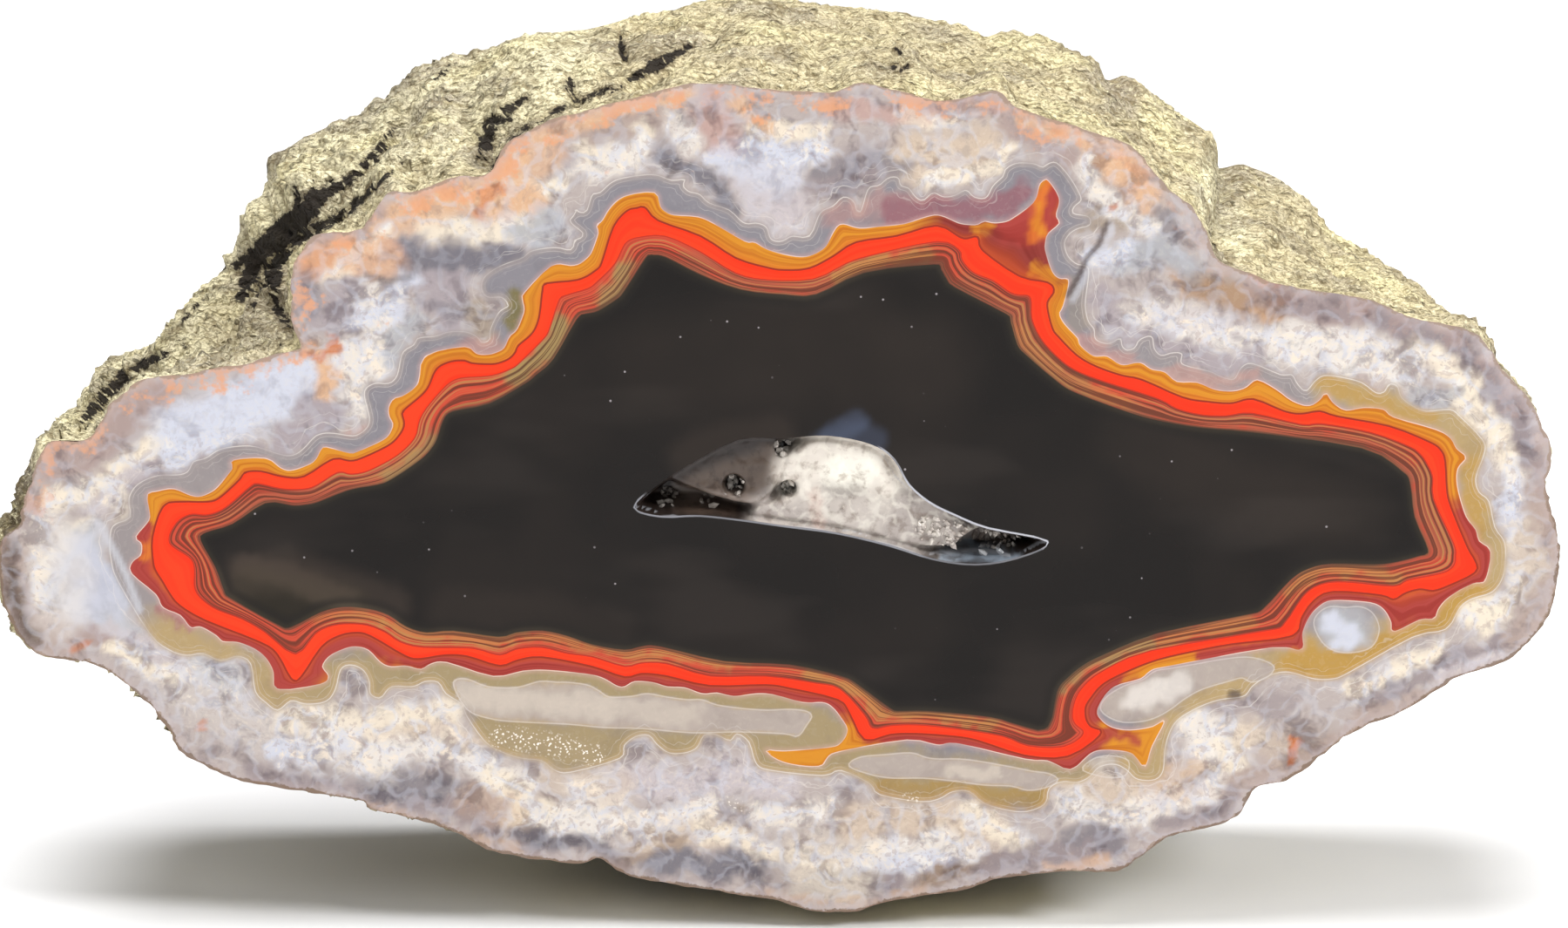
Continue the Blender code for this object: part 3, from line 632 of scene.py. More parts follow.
CRACKS_PX = [
    [(92, 486, 3), (112, 464, 7), (140, 434, 7), (170, 415, 5), (212, 397, 1)],
    [(250, 313, 1), (272, 303, 4), (292, 293, 9), (318, 272, 14), (345, 248, 13), (368, 226, 9),
        (392, 207, 3)],
    [(276, 342, 4), (282, 322, 7), (296, 300, 9)], [(368, 226, 5), (392, 212, 5), (412, 196, 2)],
    [(340, 276, 6), (372, 258, 5), (393, 248, 5), (421, 222, 4), (450, 196, 3), (466, 188, 1)],
    [(396, 212, 1), (410, 198, 5), (426, 181, 4), (440, 167, 5), (453, 148, 1)],
    [(336, 284, 3), (318, 302, 8), (314, 326, 7), (316, 350, 6), (328, 368, 4),
        (336, 377, 2), (320, 394, 1)],
    [(604, 114, 1), (584, 126, 6), (568, 140, 7), (561, 158, 7), (550, 180, 3)],
    [(584, 126, 3), (562, 134, 3), (546, 151, 1)], [(610, 142, 1), (588, 161, 4), (572, 184, 3), (562, 196, 1)],
    [(796, 52, 1), (776, 62, 4), (754, 74, 7), (738, 84, 5), (714, 97, 1)],
    [(711, 38, 1), (713, 54, 4), (717, 70, 1)],
    [(655, 90, 1), (654, 98, 5), (656, 106, 2)], [(724, 96, 1), (690, 106, 3), (655, 119, 2), (600, 150, 1)],
    [(1028, 53, 1), (1033, 60, 3)], [(1026, 77, 2), (1034, 81, 4), (1040, 78, 1)],
    [(498, 90, 1), (514, 80, 3), (526, 74, 1)],
    [(361, 198, 1), (357, 212, 3), (358, 226, 1)], [(338, 214, 1), (341, 228, 3), (340, 240, 1)],
    [(330, 300, 1), (300, 330, 2), (290, 352, 1)], [(232, 345, 1), (215, 362, 2), (196, 384, 1)],
]
CRACK_DEPTH = 0.0009
CRACK_RAG = 0.00019
CRACK_RAG_SIZES = (0.0012, 0.0005)
FLAKE_RISE = 0.62
LOWER_DROP = 0.0003
CRAGGY_LEFT = 0.7


def skin_relief(places, upper):
    """How far the skin stands out or in at each place."""
    out = np.zeros(len(places))
    for size, height in SKIN_NOISE:
        out += height * noise_at(places, size)
    pits = np.array([noise.voronoi(place)[0][0] for place in (places / PIT_SPACING).tolist()])
    out -= PIT_DEPTH * np.clip(1.0 - pits / PIT_SHARE, 0.0, None)
    out = np.where(upper, out, LOWER_RELIEF * out)
    seen = picture_of(places)
    crack = np.zeros(len(places))
    for run, depth, half_width in CREVICES_PX:
        away = distance_to_run(seen, np.array(run, float)) * PIXEL
        crack += depth * np.exp(-((away / half_width) ** 2))
    for spot, height, radius in LUMPS_PX:
        away = np.hypot(*(seen - spot).T) * PIXEL
        out += np.where(upper, height * np.exp(-((away / radius) ** 2)), 0.0)
    return out - np.where(upper, crack, 0.0)


def skin_grain(places):
    """Flakes that lie along the rim, with grit over them: sharp ridges, as split rock has."""
    flat = places * [1.0, 1.0 / FLAKE_SQUEEZE, 1.0]
    out = GRIT_HEIGHT * noise_at(places, GRIT_SIZE, 7.3)
    for size, height in FLAKE_SIZES:
        out += height * (FLAKE_RISE - 2.6 * np.abs(noise_at(flat, size, 9.1)))
    return out * (1.0 + CRAGGY_LEFT * soft_step(-0.012, -0.028, places[:, 0]))


def crack_gap(places):
    """How far each place lies outside the edge of the nearest open crack."""
    seen = picture_of(places)
    gap = np.full(len(places), FAR_PX)
    for run in CRACKS_PX:
        for start, end in zip(run[:-1], run[1:]):
            along = np.subtract(end, start)[:2]
            share = np.clip((seen - start[:2]) @ along / (along @ along), 0.0, 1.0)
            away = np.hypot(*(seen - start[:2] - share[:, None] * along).T)
            gap = np.minimum(gap, away - start[2] - share * (end[2] - start[2]))
    return gap * PIXEL + CRACK_RAG * sum(noise_at(places, size, 2.0) for size in CRACK_RAG_SIZES)


# %% Wrapping the skin around the stone
def wrap_skin():
    piece = start_grid("rough_skin", COLUMNS, ROWS)
    flat = points_of(piece.data)
    spread = flat[:, :2] - flat[:, :2].min(axis=0)
    spread /= spread.max(axis=0)
    column = np.rint(spread[:, 0] * COLUMNS).astype(int) % COLUMNS
    row = np.rint(spread[:, 1] * ROWS).astype(int)
    places = np.zeros((len(flat), 3))
    gaps = np.zeros(len(flat))
    for step in range(ROWS + 1):
        share = step / ROWS
        x, z, out_x, out_z = ring_at(share)
        ring = np.stack([x, np.full(COLUMNS, FRONT_Y + SLICE_THICKNESS * share), z], axis=1)
        lower = np.sin(turns) < 0.0
        relief = skin_relief(ring, ~lower)
        gap = np.where(lower, FAR_PX, crack_gap(ring))
        ramp = float(soft_step(0.0, RELIEF_START, share))
        from_foot = np.abs(x - FOOT_MIDDLE_X)
        foot = soft_step(FOOT_HALF_WIDTH, FOOT_CORE_SHARE * FOOT_HALF_WIDTH, from_foot) * lower
        drop = FOOT_BULGE * foot * float(soft_step(0.0, FOOT_START, share))
        belly = LOWER_BELLY * math.sin(math.pi * share) * soft_step(0.0, BELLY_START, -np.sin(turns))
        calm = 1.0 - FOOT_CALM * foot
        grain_ramp = float(soft_step(0.0, GRAIN_EDGE, share) * soft_step(1.0, 1.0 - GRAIN_EDGE, share))
        out = (relief * ramp + belly) * calm + skin_grain(ring) * grain_ramp * calm
        out -= LOWER_DROP * lower * grain_ramp * calm
        out -= CRACK_DEPTH * soft_step(0.0002, -0.0003, gap) * grain_ramp
        ring[:, 0] += out * out_x
        ring[:, 2] += out * out_z - drop
        ring[:, 2] = np.maximum(ring[:, 2], 0.0)
        gap = np.where(lower, FAR_PX, crack_gap(ring))
        here = row == step
        places[here] = ring[column[here]]
        gaps[here] = gap[column[here]]
    place_points(piece.data, places)
    keep_values(piece, "to_crack", np.minimum(gaps * 1000.0, 9.0))
    return piece


rough_skin = wrap_skin()
pick_nothing()
bpy.context.view_layer.objects.active = rough_skin
rough_skin.select_set(True)
bpy.ops.object.mode_set(mode="EDIT")
bpy.ops.mesh.select_all(action="SELECT")
bpy.ops.mesh.remove_doubles(threshold=1.0e-6)
bpy.ops.object.mode_set(mode="OBJECT")
print("rough skin:", len(rough_skin.data.polygons), "faces")

# %% [markdown]
# ## The polished face and the sawn back
#
# Both are flat, so their look is all colour: a fine sheet holds the distances to the bands and the
# soft tints. The back shows the same layers a finger's width further in, so its points look up
# their place on the face by turn and share of the reach.

# %% The face sheet
FACE_CELL = 0.000205
BACK_CELL = 0.00034

polished_face = flat_sheet("polished_face", face_edge, FACE_CELL, FRONT_Y, -1.0, hollow_edge)
back_x, _, back_z = points_of(rough_skin.data)[
    points_of(rough_skin.data)[:, 1] > BACK_Y - 1.0e-6
].T
print("face cell", 1000.0 * FACE_CELL, "mm; back points on the rim:", len(back_x))

# %% The back sheet
def ring_in_order(x, z):
    order = np.argsort(turn_and_reach(np.stack([x, z], axis=1))[0])
    return np.stack([x[order], z[order]], axis=1)


back_edge = ring_in_order(back_x, back_z)
sawn_back = flat_sheet("sawn_back", back_edge, BACK_CELL, BACK_Y, 1.0)

# %% [markdown]
# ## Soft tints, as with an airbrush
#
# Between the crisp lines the stone is cloudy. Its tints are laid on like airbrush strokes: a
# colour, how strongly it covers, half the stroke's width, and where it runs. Noise bends each
# stroke a little, so that no edge looks drawn.

# %% Colours of the stone
def shade(code):
    """A linear colour from a hex code of the display colour."""
    parts = np.array([int(code[i : i + 2], 16) for i in (0, 2, 4)]) / 255.0
    return np.where(parts <= 0.04045, parts / 12.92, ((parts + 0.055) / 1.055) ** 2.4)


TINTS = {
    "lilac_grey": shade("BEB6B9"),
    "warm_grey": shade("B5A5A2"),
    "mauve": shade("AF9D9E"),
    "grey_mauve": shade("988F98"),
    "slate": shade("7C7B89"),
    "smoke": shade("A09A9F"),
    "steel": shade("B2B7C4"),
    "blue_grey": shade("C3C7D5"),
    "ice": shade("D7DFF6"),
    "lilac": shade("CDC8D3"),
    "lavender": shade("ADA6B2"),
    "wedge": shade("CBD2EA"),
    "white": shade("ECEAEC"),
    "cream": shade("F4ECE0"),
    "beige": shade("D8C8BA"),
    "peach": shade("E6BE9E"),
    "tan": shade("C9A27E"),
    "rust": shade("D27A42"),
    "rosy": shade("CC9F98"),
    "rose": shade("A9727A"),
    "taupe": shade("A99C90"),
    "khaki": shade("BDA67B"),
    "ochre": shade("C39B4C"),
    "brown_grey": shade("96806F"),
    "lens_grey": shade("B7AEAC"),
    "lens_pale": shade("D2CAC4"),
    "amber": shade("D48E24"),
    "deep_amber": shade("D9782C"),
    "maroon": shade("A8403A"),
    "dark_maroon": shade("8E3731"),
    "brick": shade("C0452F"),
    "brown_red": shade("A4553C"),
    "olive": shade("8E8152"),
    "golden": shade("B07E45"),
    "bark": shade("4E3C2E"),
    # painted highlight: a pale blue glint above the hollow
    "painted_blue_highlight": shade("8CA2CC"),
}

# %% Strokes of the cloudy zone
CLOUD_STROKES = [
    ("warm_grey", 0.9, 20, 22, 600, 18, 660, 30, 712, 75, 745),
    ("tan", 0.8, 9, 58, 512, 92, 508, 118, 486, 140, 458, 175, 438),
    ("mauve", 0.9, 20, 62, 534, 112, 510, 140, 480, 186, 452),
    ("cream", 1.0, 12, 58, 574, 84, 566, 112, 552, 142, 536, 168, 514, 186, 500),
    ("lilac", 0.8, 12, 110, 585, 140, 560, 170, 540),
    ("ice", 1.0, 32, 205, 500, 250, 480, 300, 458, 338, 444), ("ice", 0.8, 12, 196, 522, 250, 506),
    ("lavender", 0.9, 12, 160, 565, 205, 552, 250, 532, 292, 522, 332, 528),
    ("cream", 1.0, 10, 96, 602, 72, 624, 56, 652, 48, 676, 54, 692, 76, 696),
    ("blue_grey", 1.0, 22, 98, 622, 98, 650, 118, 672, 132, 692),
    ("blue_grey", 1.0, 10, 66, 680, 92, 692, 122, 706, 152, 722),
    ("lens_pale", 0.9, 9, 142, 566, 144, 604, 146, 640, 160, 684, 172, 704),
    ("mauve", 0.85, 12, 38, 708, 86, 724, 128, 736), ("cream", 0.95, 9, 132, 746, 168, 762, 202, 776),
    ("lilac", 0.8, 10, 122, 716, 162, 736, 202, 756), ("taupe", 0.5, 12, 182, 722, 214, 736, 250, 746),
    ("blue_grey", 0.95, 18, 236, 772, 262, 786), ("lilac_grey", 0.8, 20, 226, 806, 300, 830, 330, 836),
    ("cream", 0.9, 16, 330, 826, 420, 832, 470, 824, 510, 818),
    ("ice", 0.9, 12, 320, 862, 372, 866, 402, 846),
    ("white", 0.95, 16, 420, 868, 480, 858, 520, 850, 560, 884, 604, 902),
    ("beige", 0.6, 10, 420, 842, 500, 836, 540, 850),
    ("grey_mauve", 0.9, 12, 290, 886, 342, 894, 402, 896, 452, 908, 520, 926, 562, 948),
    ("slate", 0.75, 14, 424, 904, 470, 898, 512, 904),
    ("tan", 0.5, 7, 420, 924, 470, 934, 530, 962, 600, 976),
    ("slate", 0.85, 12, 596, 954, 640, 968, 684, 964, 700, 978),
    ("cream", 0.95, 14, 566, 892, 602, 914, 590, 936, 626, 930),
    ("lilac_grey", 0.7, 14, 640, 905, 660, 925),
    ("white", 1.0, 14, 664, 908, 706, 914, 640, 944, 764, 944, 806, 926),
    ("lilac", 0.95, 20, 716, 892, 780, 900, 846, 890, 900, 900),
    ("white", 0.95, 13, 872, 934, 902, 940, 962, 930), ("beige", 0.7, 14, 740, 962, 800, 956, 860, 966),
    ("cream", 0.9, 10, 800, 950, 852, 962, 890, 984, 940, 990),
    ("brown_grey", 0.6, 9, 702, 990, 752, 980, 776, 966),
    ("slate", 0.95, 14, 750, 996, 784, 984, 812, 998, 846, 986, 868, 998),
    ("lilac_grey", 0.8, 18, 906, 964, 962, 962),
    ("grey_mauve", 0.95, 18, 900, 1004, 944, 1018, 992, 1012, 1030, 1006),
    ("slate", 0.6, 9, 930, 1012, 960, 1004, 1002, 1008),
    ("tan", 0.5, 7, 880, 1028, 1000, 1038, 1060, 1022),
    ("beige", 0.85, 22, 984, 944, 1062, 944, 1132, 952),
    ("white", 0.95, 13, 1000, 974, 1052, 986, 1086, 962, 1120, 976),
    ("ice", 0.7, 8, 990, 992, 1040, 990, 1090, 986), ("cream", 0.95, 10, 1112, 932, 1152, 956, 1178, 972),
    ("brown_grey", 0.8, 8, 1060, 1010, 1112, 996, 1150, 986),
    ("grey_mauve", 0.9, 16, 1130, 1000, 1182, 982, 1232, 976, 1282, 962),
    ("slate", 0.6, 10, 1226, 960, 1258, 950, 1288, 966),
    ("peach", 0.6, 9, 1200, 1000, 1240, 990, 1270, 984),
    ("beige", 0.8, 16, 1230, 900, 1290, 910, 1350, 900, 1400, 880),
    ("white", 0.95, 13, 1222, 922, 1290, 936, 1350, 918, 1404, 902),
    ("white", 1.0, 22, 1372, 832, 1400, 842, 1386, 862),
    ("cream", 0.8, 14, 1420, 880, 1408, 858, 1432, 840),
    ("lilac_grey", 0.85, 16, 1440, 824, 1500, 812, 1560, 802),
    ("grey_mauve", 0.6, 10, 1400, 800, 1450, 812, 1478, 800), ("lavender", 0.8, 10, 1446, 862, 1476, 876),
    ("warm_grey", 0.85, 11, 1404, 916, 1444, 890, 1502, 872, 1552, 836, 1622, 800),
    ("grey_mauve", 0.8, 9, 1330, 944, 1384, 936, 1416, 912),
    ("cream", 0.95, 12, 1556, 794, 1602, 772, 1652, 746),
    ("grey_mauve", 0.85, 9, 1590, 800, 1630, 768, 1682, 752, 1742, 734),
    ("lilac", 0.85, 8, 1652, 774, 1720, 754), ("cream", 1.0, 16, 1686, 704, 1722, 700, 1704, 716),
    ("warm_grey", 0.9, 13, 1764, 566, 1776, 622, 1782, 664, 1766, 704, 1738, 736),
    ("cream", 0.95, 18, 1748, 612, 1760, 640, 1744, 668), ("ice", 0.95, 15, 1736, 560, 1730, 588),
    ("white", 0.95, 16, 1738, 536, 1742, 504), ("cream", 0.95, 20, 1684, 452, 1716, 486, 1734, 520),
    ("grey_mauve", 0.95, 15, 1512, 344, 1580, 358, 1640, 386, 1702, 424, 1742, 474, 1760, 530),
    ("lilac", 0.6, 8, 1700, 392, 1740, 440, 1772, 500),
    ("cream", 0.95, 14, 1630, 396, 1668, 424, 1690, 446),
    ("white", 0.95, 24, 1490, 392, 1546, 402, 1602, 426),
    ("steel", 0.7, 10, 1620, 450, 1650, 458, 1670, 446),
    ("mauve", 0.9, 15, 1440, 338, 1500, 350, 1560, 362),
    ("tan", 0.85, 14, 1356, 316, 1384, 334, 1432, 346, 1464, 354),
    ("white", 0.95, 20, 1296, 372, 1340, 362, 1402, 386, 1452, 398),
    ("steel", 0.9, 18, 1290, 298, 1330, 288, 1366, 306),
    ("lavender", 0.9, 15, 1264, 340, 1268, 368, 1302, 384, 1342, 400, 1402, 416, 1440, 410),
    ("ice", 0.85, 10, 1254, 294, 1276, 304, 1292, 284),
    ("slate", 0.6, 10, 1330, 242, 1352, 268, 1304, 248),
    ("taupe", 0.8, 10, 1262, 242, 1246, 256, 1282, 252),
    ("peach", 0.9, 15, 1252, 178, 1290, 198, 1312, 220, 1302, 238),
    ("white", 0.9, 10, 1238, 190, 1256, 214, 1288, 244, 1322, 262),
    ("peach", 0.85, 12, 1168, 136, 1222, 150, 1262, 164, 1312, 190),
    ("beige", 0.95, 28, 1052, 184, 1092, 180, 1124, 172),
    ("cream", 0.95, 8, 1062, 208, 1102, 202, 1142, 190, 1156, 174),
    ("mauve", 0.8, 12, 1152, 150, 1192, 166, 1222, 182),
    ("cream", 0.8, 9, 1040, 130, 1082, 140, 1122, 126),
    ("rosy", 0.5, 14, 960, 122, 1022, 132, 1082, 122, 1142, 122),
    ("slate", 0.75, 12, 940, 200, 980, 190, 1014, 178, 1034, 192),
    ("grey_mauve", 0.8, 13, 930, 218, 970, 214, 1008, 200),
    ("lilac", 1.0, 26, 858, 198, 888, 206, 878, 226, 902, 246),
    ("ice", 0.95, 12, 822, 180, 866, 172, 912, 178, 940, 170),
    ("cream", 0.9, 10, 900, 150, 942, 150, 872, 152), ("peach", 0.8, 9, 848, 118, 866, 138, 884, 150),
    ("rosy", 0.55, 20, 816, 118, 822, 146, 834, 160), ("white", 0.8, 12, 784, 142, 768, 134, 794, 158),
    ("slate", 0.95, 12, 766, 178, 790, 192, 806, 206, 824, 226, 838, 242),
    ("warm_grey", 0.9, 22, 606, 168, 652, 152, 702, 142, 746, 134),
    ("peach", 0.9, 11, 576, 194, 608, 166, 660, 142, 722, 120, 784, 108),
    ("cream", 0.9, 10, 660, 172, 690, 176, 724, 186, 742, 150),
    ("white", 0.85, 12, 650, 196, 690, 192, 730, 184),
    ("lavender", 0.7, 12, 616, 176, 640, 170, 652, 186),
    ("cream", 0.95, 10, 604, 206, 620, 220, 642, 214),
    ("peach", 0.95, 20, 496, 218, 540, 226, 572, 240, 604, 226),
    ("cream", 0.95, 14, 490, 256, 522, 266, 562, 268, 602, 258),
    ("steel", 0.85, 14, 596, 266, 632, 252, 622, 272),
    ("slate", 1.0, 13, 500, 300, 540, 297, 582, 300, 616, 306, 590, 316),
    ("lavender", 0.9, 18, 486, 322, 520, 326, 500, 350, 520, 372),
    ("taupe", 0.85, 12, 546, 352, 556, 372, 572, 394), ("white", 0.95, 20, 420, 340, 436, 376, 428, 414),
    ("white", 0.95, 13, 396, 404, 404, 446, 410, 464), ("steel", 0.8, 12, 448, 410, 452, 386, 470, 366),
    ("ice", 0.8, 12, 470, 320, 450, 350, 400, 370),
    ("peach", 0.95, 13, 352, 402, 366, 410, 380, 428, 372, 448),
    ("ice", 1.0, 18, 292, 452, 330, 446, 350, 430),
    ("lavender", 0.95, 16, 352, 462, 384, 476, 372, 490, 332, 502),
    ("rosy", 0.9, 10, 396, 512, 418, 504, 434, 488, 438, 474),
    ("peach", 0.9, 20, 358, 300, 402, 280, 452, 250, 502, 232), ("mauve", 0.7, 12, 382, 262, 432, 242),
    ("lavender", 0.8, 16, 350, 340, 372, 368, 402, 332), ("cream", 0.8, 9, 400, 304, 378, 312, 440, 268),
    ("ice", 0.7, 20, 838, 186, 868, 192, 900, 200), ("brown_grey", 0.35, 26, 1480, 850, 1520, 862),
    ("white", 0.5, 18, 92, 556, 126, 566), ("wedge", 0.9, 26, 90, 640, 100, 670, 90, 690),
    ("wedge", 0.6, 16, 125, 660, 135, 690), ("slate", 0.95, 17, 470, 290, 520, 296, 570, 300, 612, 306),
    ("slate", 0.6, 10, 500, 298, 600, 306), ("slate", 0.55, 16, 352, 322, 356, 352),
    ("rust", 0.35, 20, 350, 300, 395, 288, 440, 296), ("peach", 0.6, 16, 410, 296, 440, 300),
    ("peach", 0.7, 22, 545, 205, 585, 196, 625, 172), ("grey_mauve", 0.5, 26, 985, 190, 1015, 205),
    ("bark", 0.9, 18, 0, 590, 0, 650, 6, 706, 30, 736), ("mauve", 0.6, 12, 1564, 432, 1600, 452),
    ("tan", 0.35, 20, 545, 920, 585, 934), ("brown_grey", 0.5, 20, 1380, 325, 1412, 345),
    ("warm_grey", 0.6, 26, 1768, 560, 1764, 620, 1766, 690), ("beige", 0.5, 20, 1430, 845, 1460, 856),
    ("cream", 0.6, 34, 925, 992, 975, 1002), ("white", 0.6, 30, 52, 610, 70, 650, 66, 700),
    ("white", 0.5, 30, 370, 855, 430, 868), ("white", 0.35, 26, 215, 790, 300, 838),
    ("beige", 0.5, 26, 640, 890, 700, 905), ("tan", 0.4, 22, 1330, 905, 1370, 892),
    ("tan", 0.45, 20, 1165, 112, 1205, 122),
    ("rust", 0.6, 5, 84, 742, 102, 740),
    ("rust", 0.5, 4, 231, 832),
    ("rust", 0.9, 6, 1482, 852, 1487, 870),
    ("rust", 0.8, 4, 1436, 316, 1474, 324),
    ("rust", 0.7, 4, 1278, 234),
    ("rust", 0.6, 7, 546, 244, 550, 226, 576, 214),
    ("slate", 0.5, 10, 520, 364, 498, 350, 534, 352),
    ("rust", 0.85, 4, 344, 406, 372, 412, 388, 402, 382, 390),
    ("grey_mauve", 0.6, 12, 1440, 338, 1530, 352, 1620, 378, 1690, 394),
    ("grey_mauve", 0.45, 12, 1730, 440, 1762, 500, 1772, 560), ("lilac", 0.5, 16, 1330, 362, 1420, 372),
]

KHAKI_STROKES = [
    ("khaki", 1.0, 34, 190, 738, 300, 790, 420, 775, 520, 775, 700, 790, 880, 815, 980, 870),
    ("khaki", 1.0, 30, 560, 845, 700, 860, 860, 870, 950, 876),
    ("khaki", 0.9, 26, 1000, 880, 1100, 890, 1236, 896),
    ("ochre", 0.7, 14, 1016, 906, 1050, 910, 1086, 906),
    ("ochre", 0.7, 14, 1116, 912, 1160, 920, 1204, 912),
    ("khaki", 1.0, 30, 1310, 886, 1350, 840, 1450, 770, 1550, 764, 1650, 716),
    ("khaki", 1.0, 30, 1650, 716, 1712, 676, 1722, 622, 1700, 560, 1690, 500),
    ("ochre", 0.9, 20, 1492, 766, 1550, 766, 1620, 730, 1690, 680),
    ("ochre", 0.7, 12, 1694, 620, 1690, 560, 1690, 510, 1660, 485),
    ("khaki", 1.0, 22, 1690, 500, 1640, 474, 1580, 458, 1522, 442),
    ("ochre", 0.6, 10, 1520, 444, 1580, 458, 1640, 480), ("taupe", 0.7, 9, 560, 384, 572, 398, 548, 398),
    ("olive", 0.95, 10, 588, 340, 592, 352, 586, 368), ("rosy", 0.8, 12, 560, 394, 540, 396),
    ("rosy", 0.8, 10, 1245, 392, 1262, 402, 1290, 410), ("rosy", 0.6, 9, 1350, 428, 1385, 438, 1440, 430),
    ("rosy", 0.7, 14, 960, 245, 1010, 236, 1060, 240),
    ("rose", 0.9, 15, 1026, 246, 1080, 240, 1120, 244, 1150, 236, 1172, 222),
    ("rose", 0.8, 8, 194, 704, 208, 716, 216, 722), ("taupe", 0.7, 10, 1232, 330, 1232, 356, 1240, 372),
]
LENS_STROKES = [
    ("lens_grey", 1.0, 30, 520, 800, 640, 805, 780, 820, 930, 830),
    ("lens_pale", 0.6, 18, 520, 800, 580, 806, 650, 806, 690, 812),
    ("lens_pale", 0.6, 12, 540, 802, 640, 806, 760, 818, 800, 820),
    ("lens_grey", 1.0, 24, 980, 878, 1060, 880, 1210, 898), ("lens_pale", 0.8, 8, 1090, 884, 1140, 888),
    ("lens_grey", 1.0, 30, 1266, 812, 1340, 790, 1460, 764),
    ("white", 0.75, 13, 1300, 804, 1330, 792, 1352, 784),
    ("khaki", 0.8, 5, 1380, 800, 1410, 796, 1426, 790), ("steel", 0.9, 34, 1546, 722),
    ("ice", 0.9, 13, 1534, 716, 1552, 728, 1540, 738), ("lens_pale", 0.8, 14, 1270, 880),
]
AMBER_STROKES = [
    ("maroon", 1.0, 24, 160, 660, 190, 700, 250, 722, 300, 745, 330, 782, 352, 772),
    ("maroon", 1.0, 20, 352, 772, 372, 744, 410, 730, 450, 750, 560, 766, 640, 760),
    ("maroon", 1.0, 20, 640, 760, 720, 780, 850, 790, 930, 798, 966, 812),
    ("maroon", 1.0, 16, 1010, 846, 1100, 850, 1180, 870, 1232, 878, 1256, 852),
    ("maroon", 1.0, 14, 1256, 852, 1244, 826, 1262, 796, 1290, 778),
    ("maroon", 1.0, 16, 1384, 752, 1440, 742, 1490, 736, 1502, 702, 1540, 684, 1600, 700),
    ("maroon", 1.0, 26, 1600, 700, 1650, 694, 1700, 660, 1704, 632, 1682, 600),
    ("maroon", 1.0, 8, 157, 618, 167, 606, 161, 640, 154, 655),
    ("dark_maroon", 1.0, 36, 1100, 262, 1140, 276, 1170, 290, 1192, 296),
    ("maroon", 1.0, 20, 1160, 262, 1200, 250, 1206, 226),
    ("deep_amber", 0.9, 8, 1199, 214, 1196, 236, 1192, 254, 1182, 268),
    ("amber", 0.6, 5, 1195, 240, 1190, 258), ("amber", 0.8, 6, 1124, 266, 1134, 266),
    ("amber", 0.8, 8, 1192, 312, 1204, 322, 1214, 332), ("deep_amber", 0.8, 5, 166, 625, 170, 642),
    ("maroon", 0.9, 7, 1270, 842, 1304, 848),
    ("amber", 1.0, 9, 1280, 856, 1312, 862, 1316, 846, 1332, 832),
    ("amber", 0.7, 7, 1292, 778, 1330, 764, 1366, 756),
]
BRICK_STROKES = [
    ("brown_red", 0.8, 12, 260, 590, 320, 570, 400, 553, 450, 540, 490, 500),
    ("olive", 0.7, 9, 494, 508, 470, 534, 440, 550), ("olive", 0.9, 12, 590, 436, 630, 400, 646, 372),
    ("olive", 0.8, 10, 690, 348, 712, 326, 722, 306),
    ("brown_red", 0.8, 10, 790, 292, 850, 322, 940, 330, 990, 306),
    ("golden", 0.8, 8, 960, 318, 1000, 302, 1060, 294),
    ("brown_red", 0.9, 12, 1110, 326, 1150, 344, 1176, 366, 1190, 406, 1240, 440),
    ("golden", 0.5, 8, 1168, 376, 1184, 404, 1236, 442, 1300, 464),
    ("brown_red", 0.8, 10, 1300, 464, 1400, 484, 1500, 496, 1580, 512, 1640, 560),
    ("brown_red", 0.9, 12, 1630, 540, 1638, 590, 1654, 624),
    ("golden", 0.7, 8, 1480, 676, 1510, 656, 1560, 654, 1600, 656),
    ("olive", 0.8, 10, 1218, 790, 1240, 768, 1280, 748, 1320, 736),
    ("golden", 0.6, 8, 1340, 734, 1380, 724, 1430, 714),
    ("golden", 0.8, 7, 930, 772, 985, 792, 1010, 814, 1060, 822, 1140, 832),
    ("golden", 0.6, 7, 440, 712, 490, 730, 580, 732, 640, 734, 740, 748, 860, 764),
    ("golden", 0.5, 7, 360, 708, 400, 702, 440, 712),
]
SMOKE_AND_HIGHLIGHT_STROKES = [
    ("brown_grey", 0.12, 24, 268, 664, 330, 654, 392, 676, 446, 694),
    ("brown_grey", 0.14, 14, 280, 650, 330, 660, 400, 690), ("olive", 0.06, 26, 290, 676, 400, 700),
    ("brown_grey", 0.05, 30, 520, 705, 620, 712, 700, 728),
    ("brown_grey", 0.04, 60, 760, 420, 900, 400, 1060, 420),
    ("brown_grey", 0.04, 40, 1300, 500, 1420, 570, 1560, 590),
    ("brown_grey", 0.07, 22, 790, 524, 840, 506, 890, 498),
    # Painted highlight: a pale blue glint on the face just above the hollow's top edge.
    ("painted_blue_highlight", 0.16, 12, 940, 508, 968, 492, 984, 484),
    ("painted_blue_highlight", 0.14, 14, 955, 508, 990, 496, 1003, 506),
]

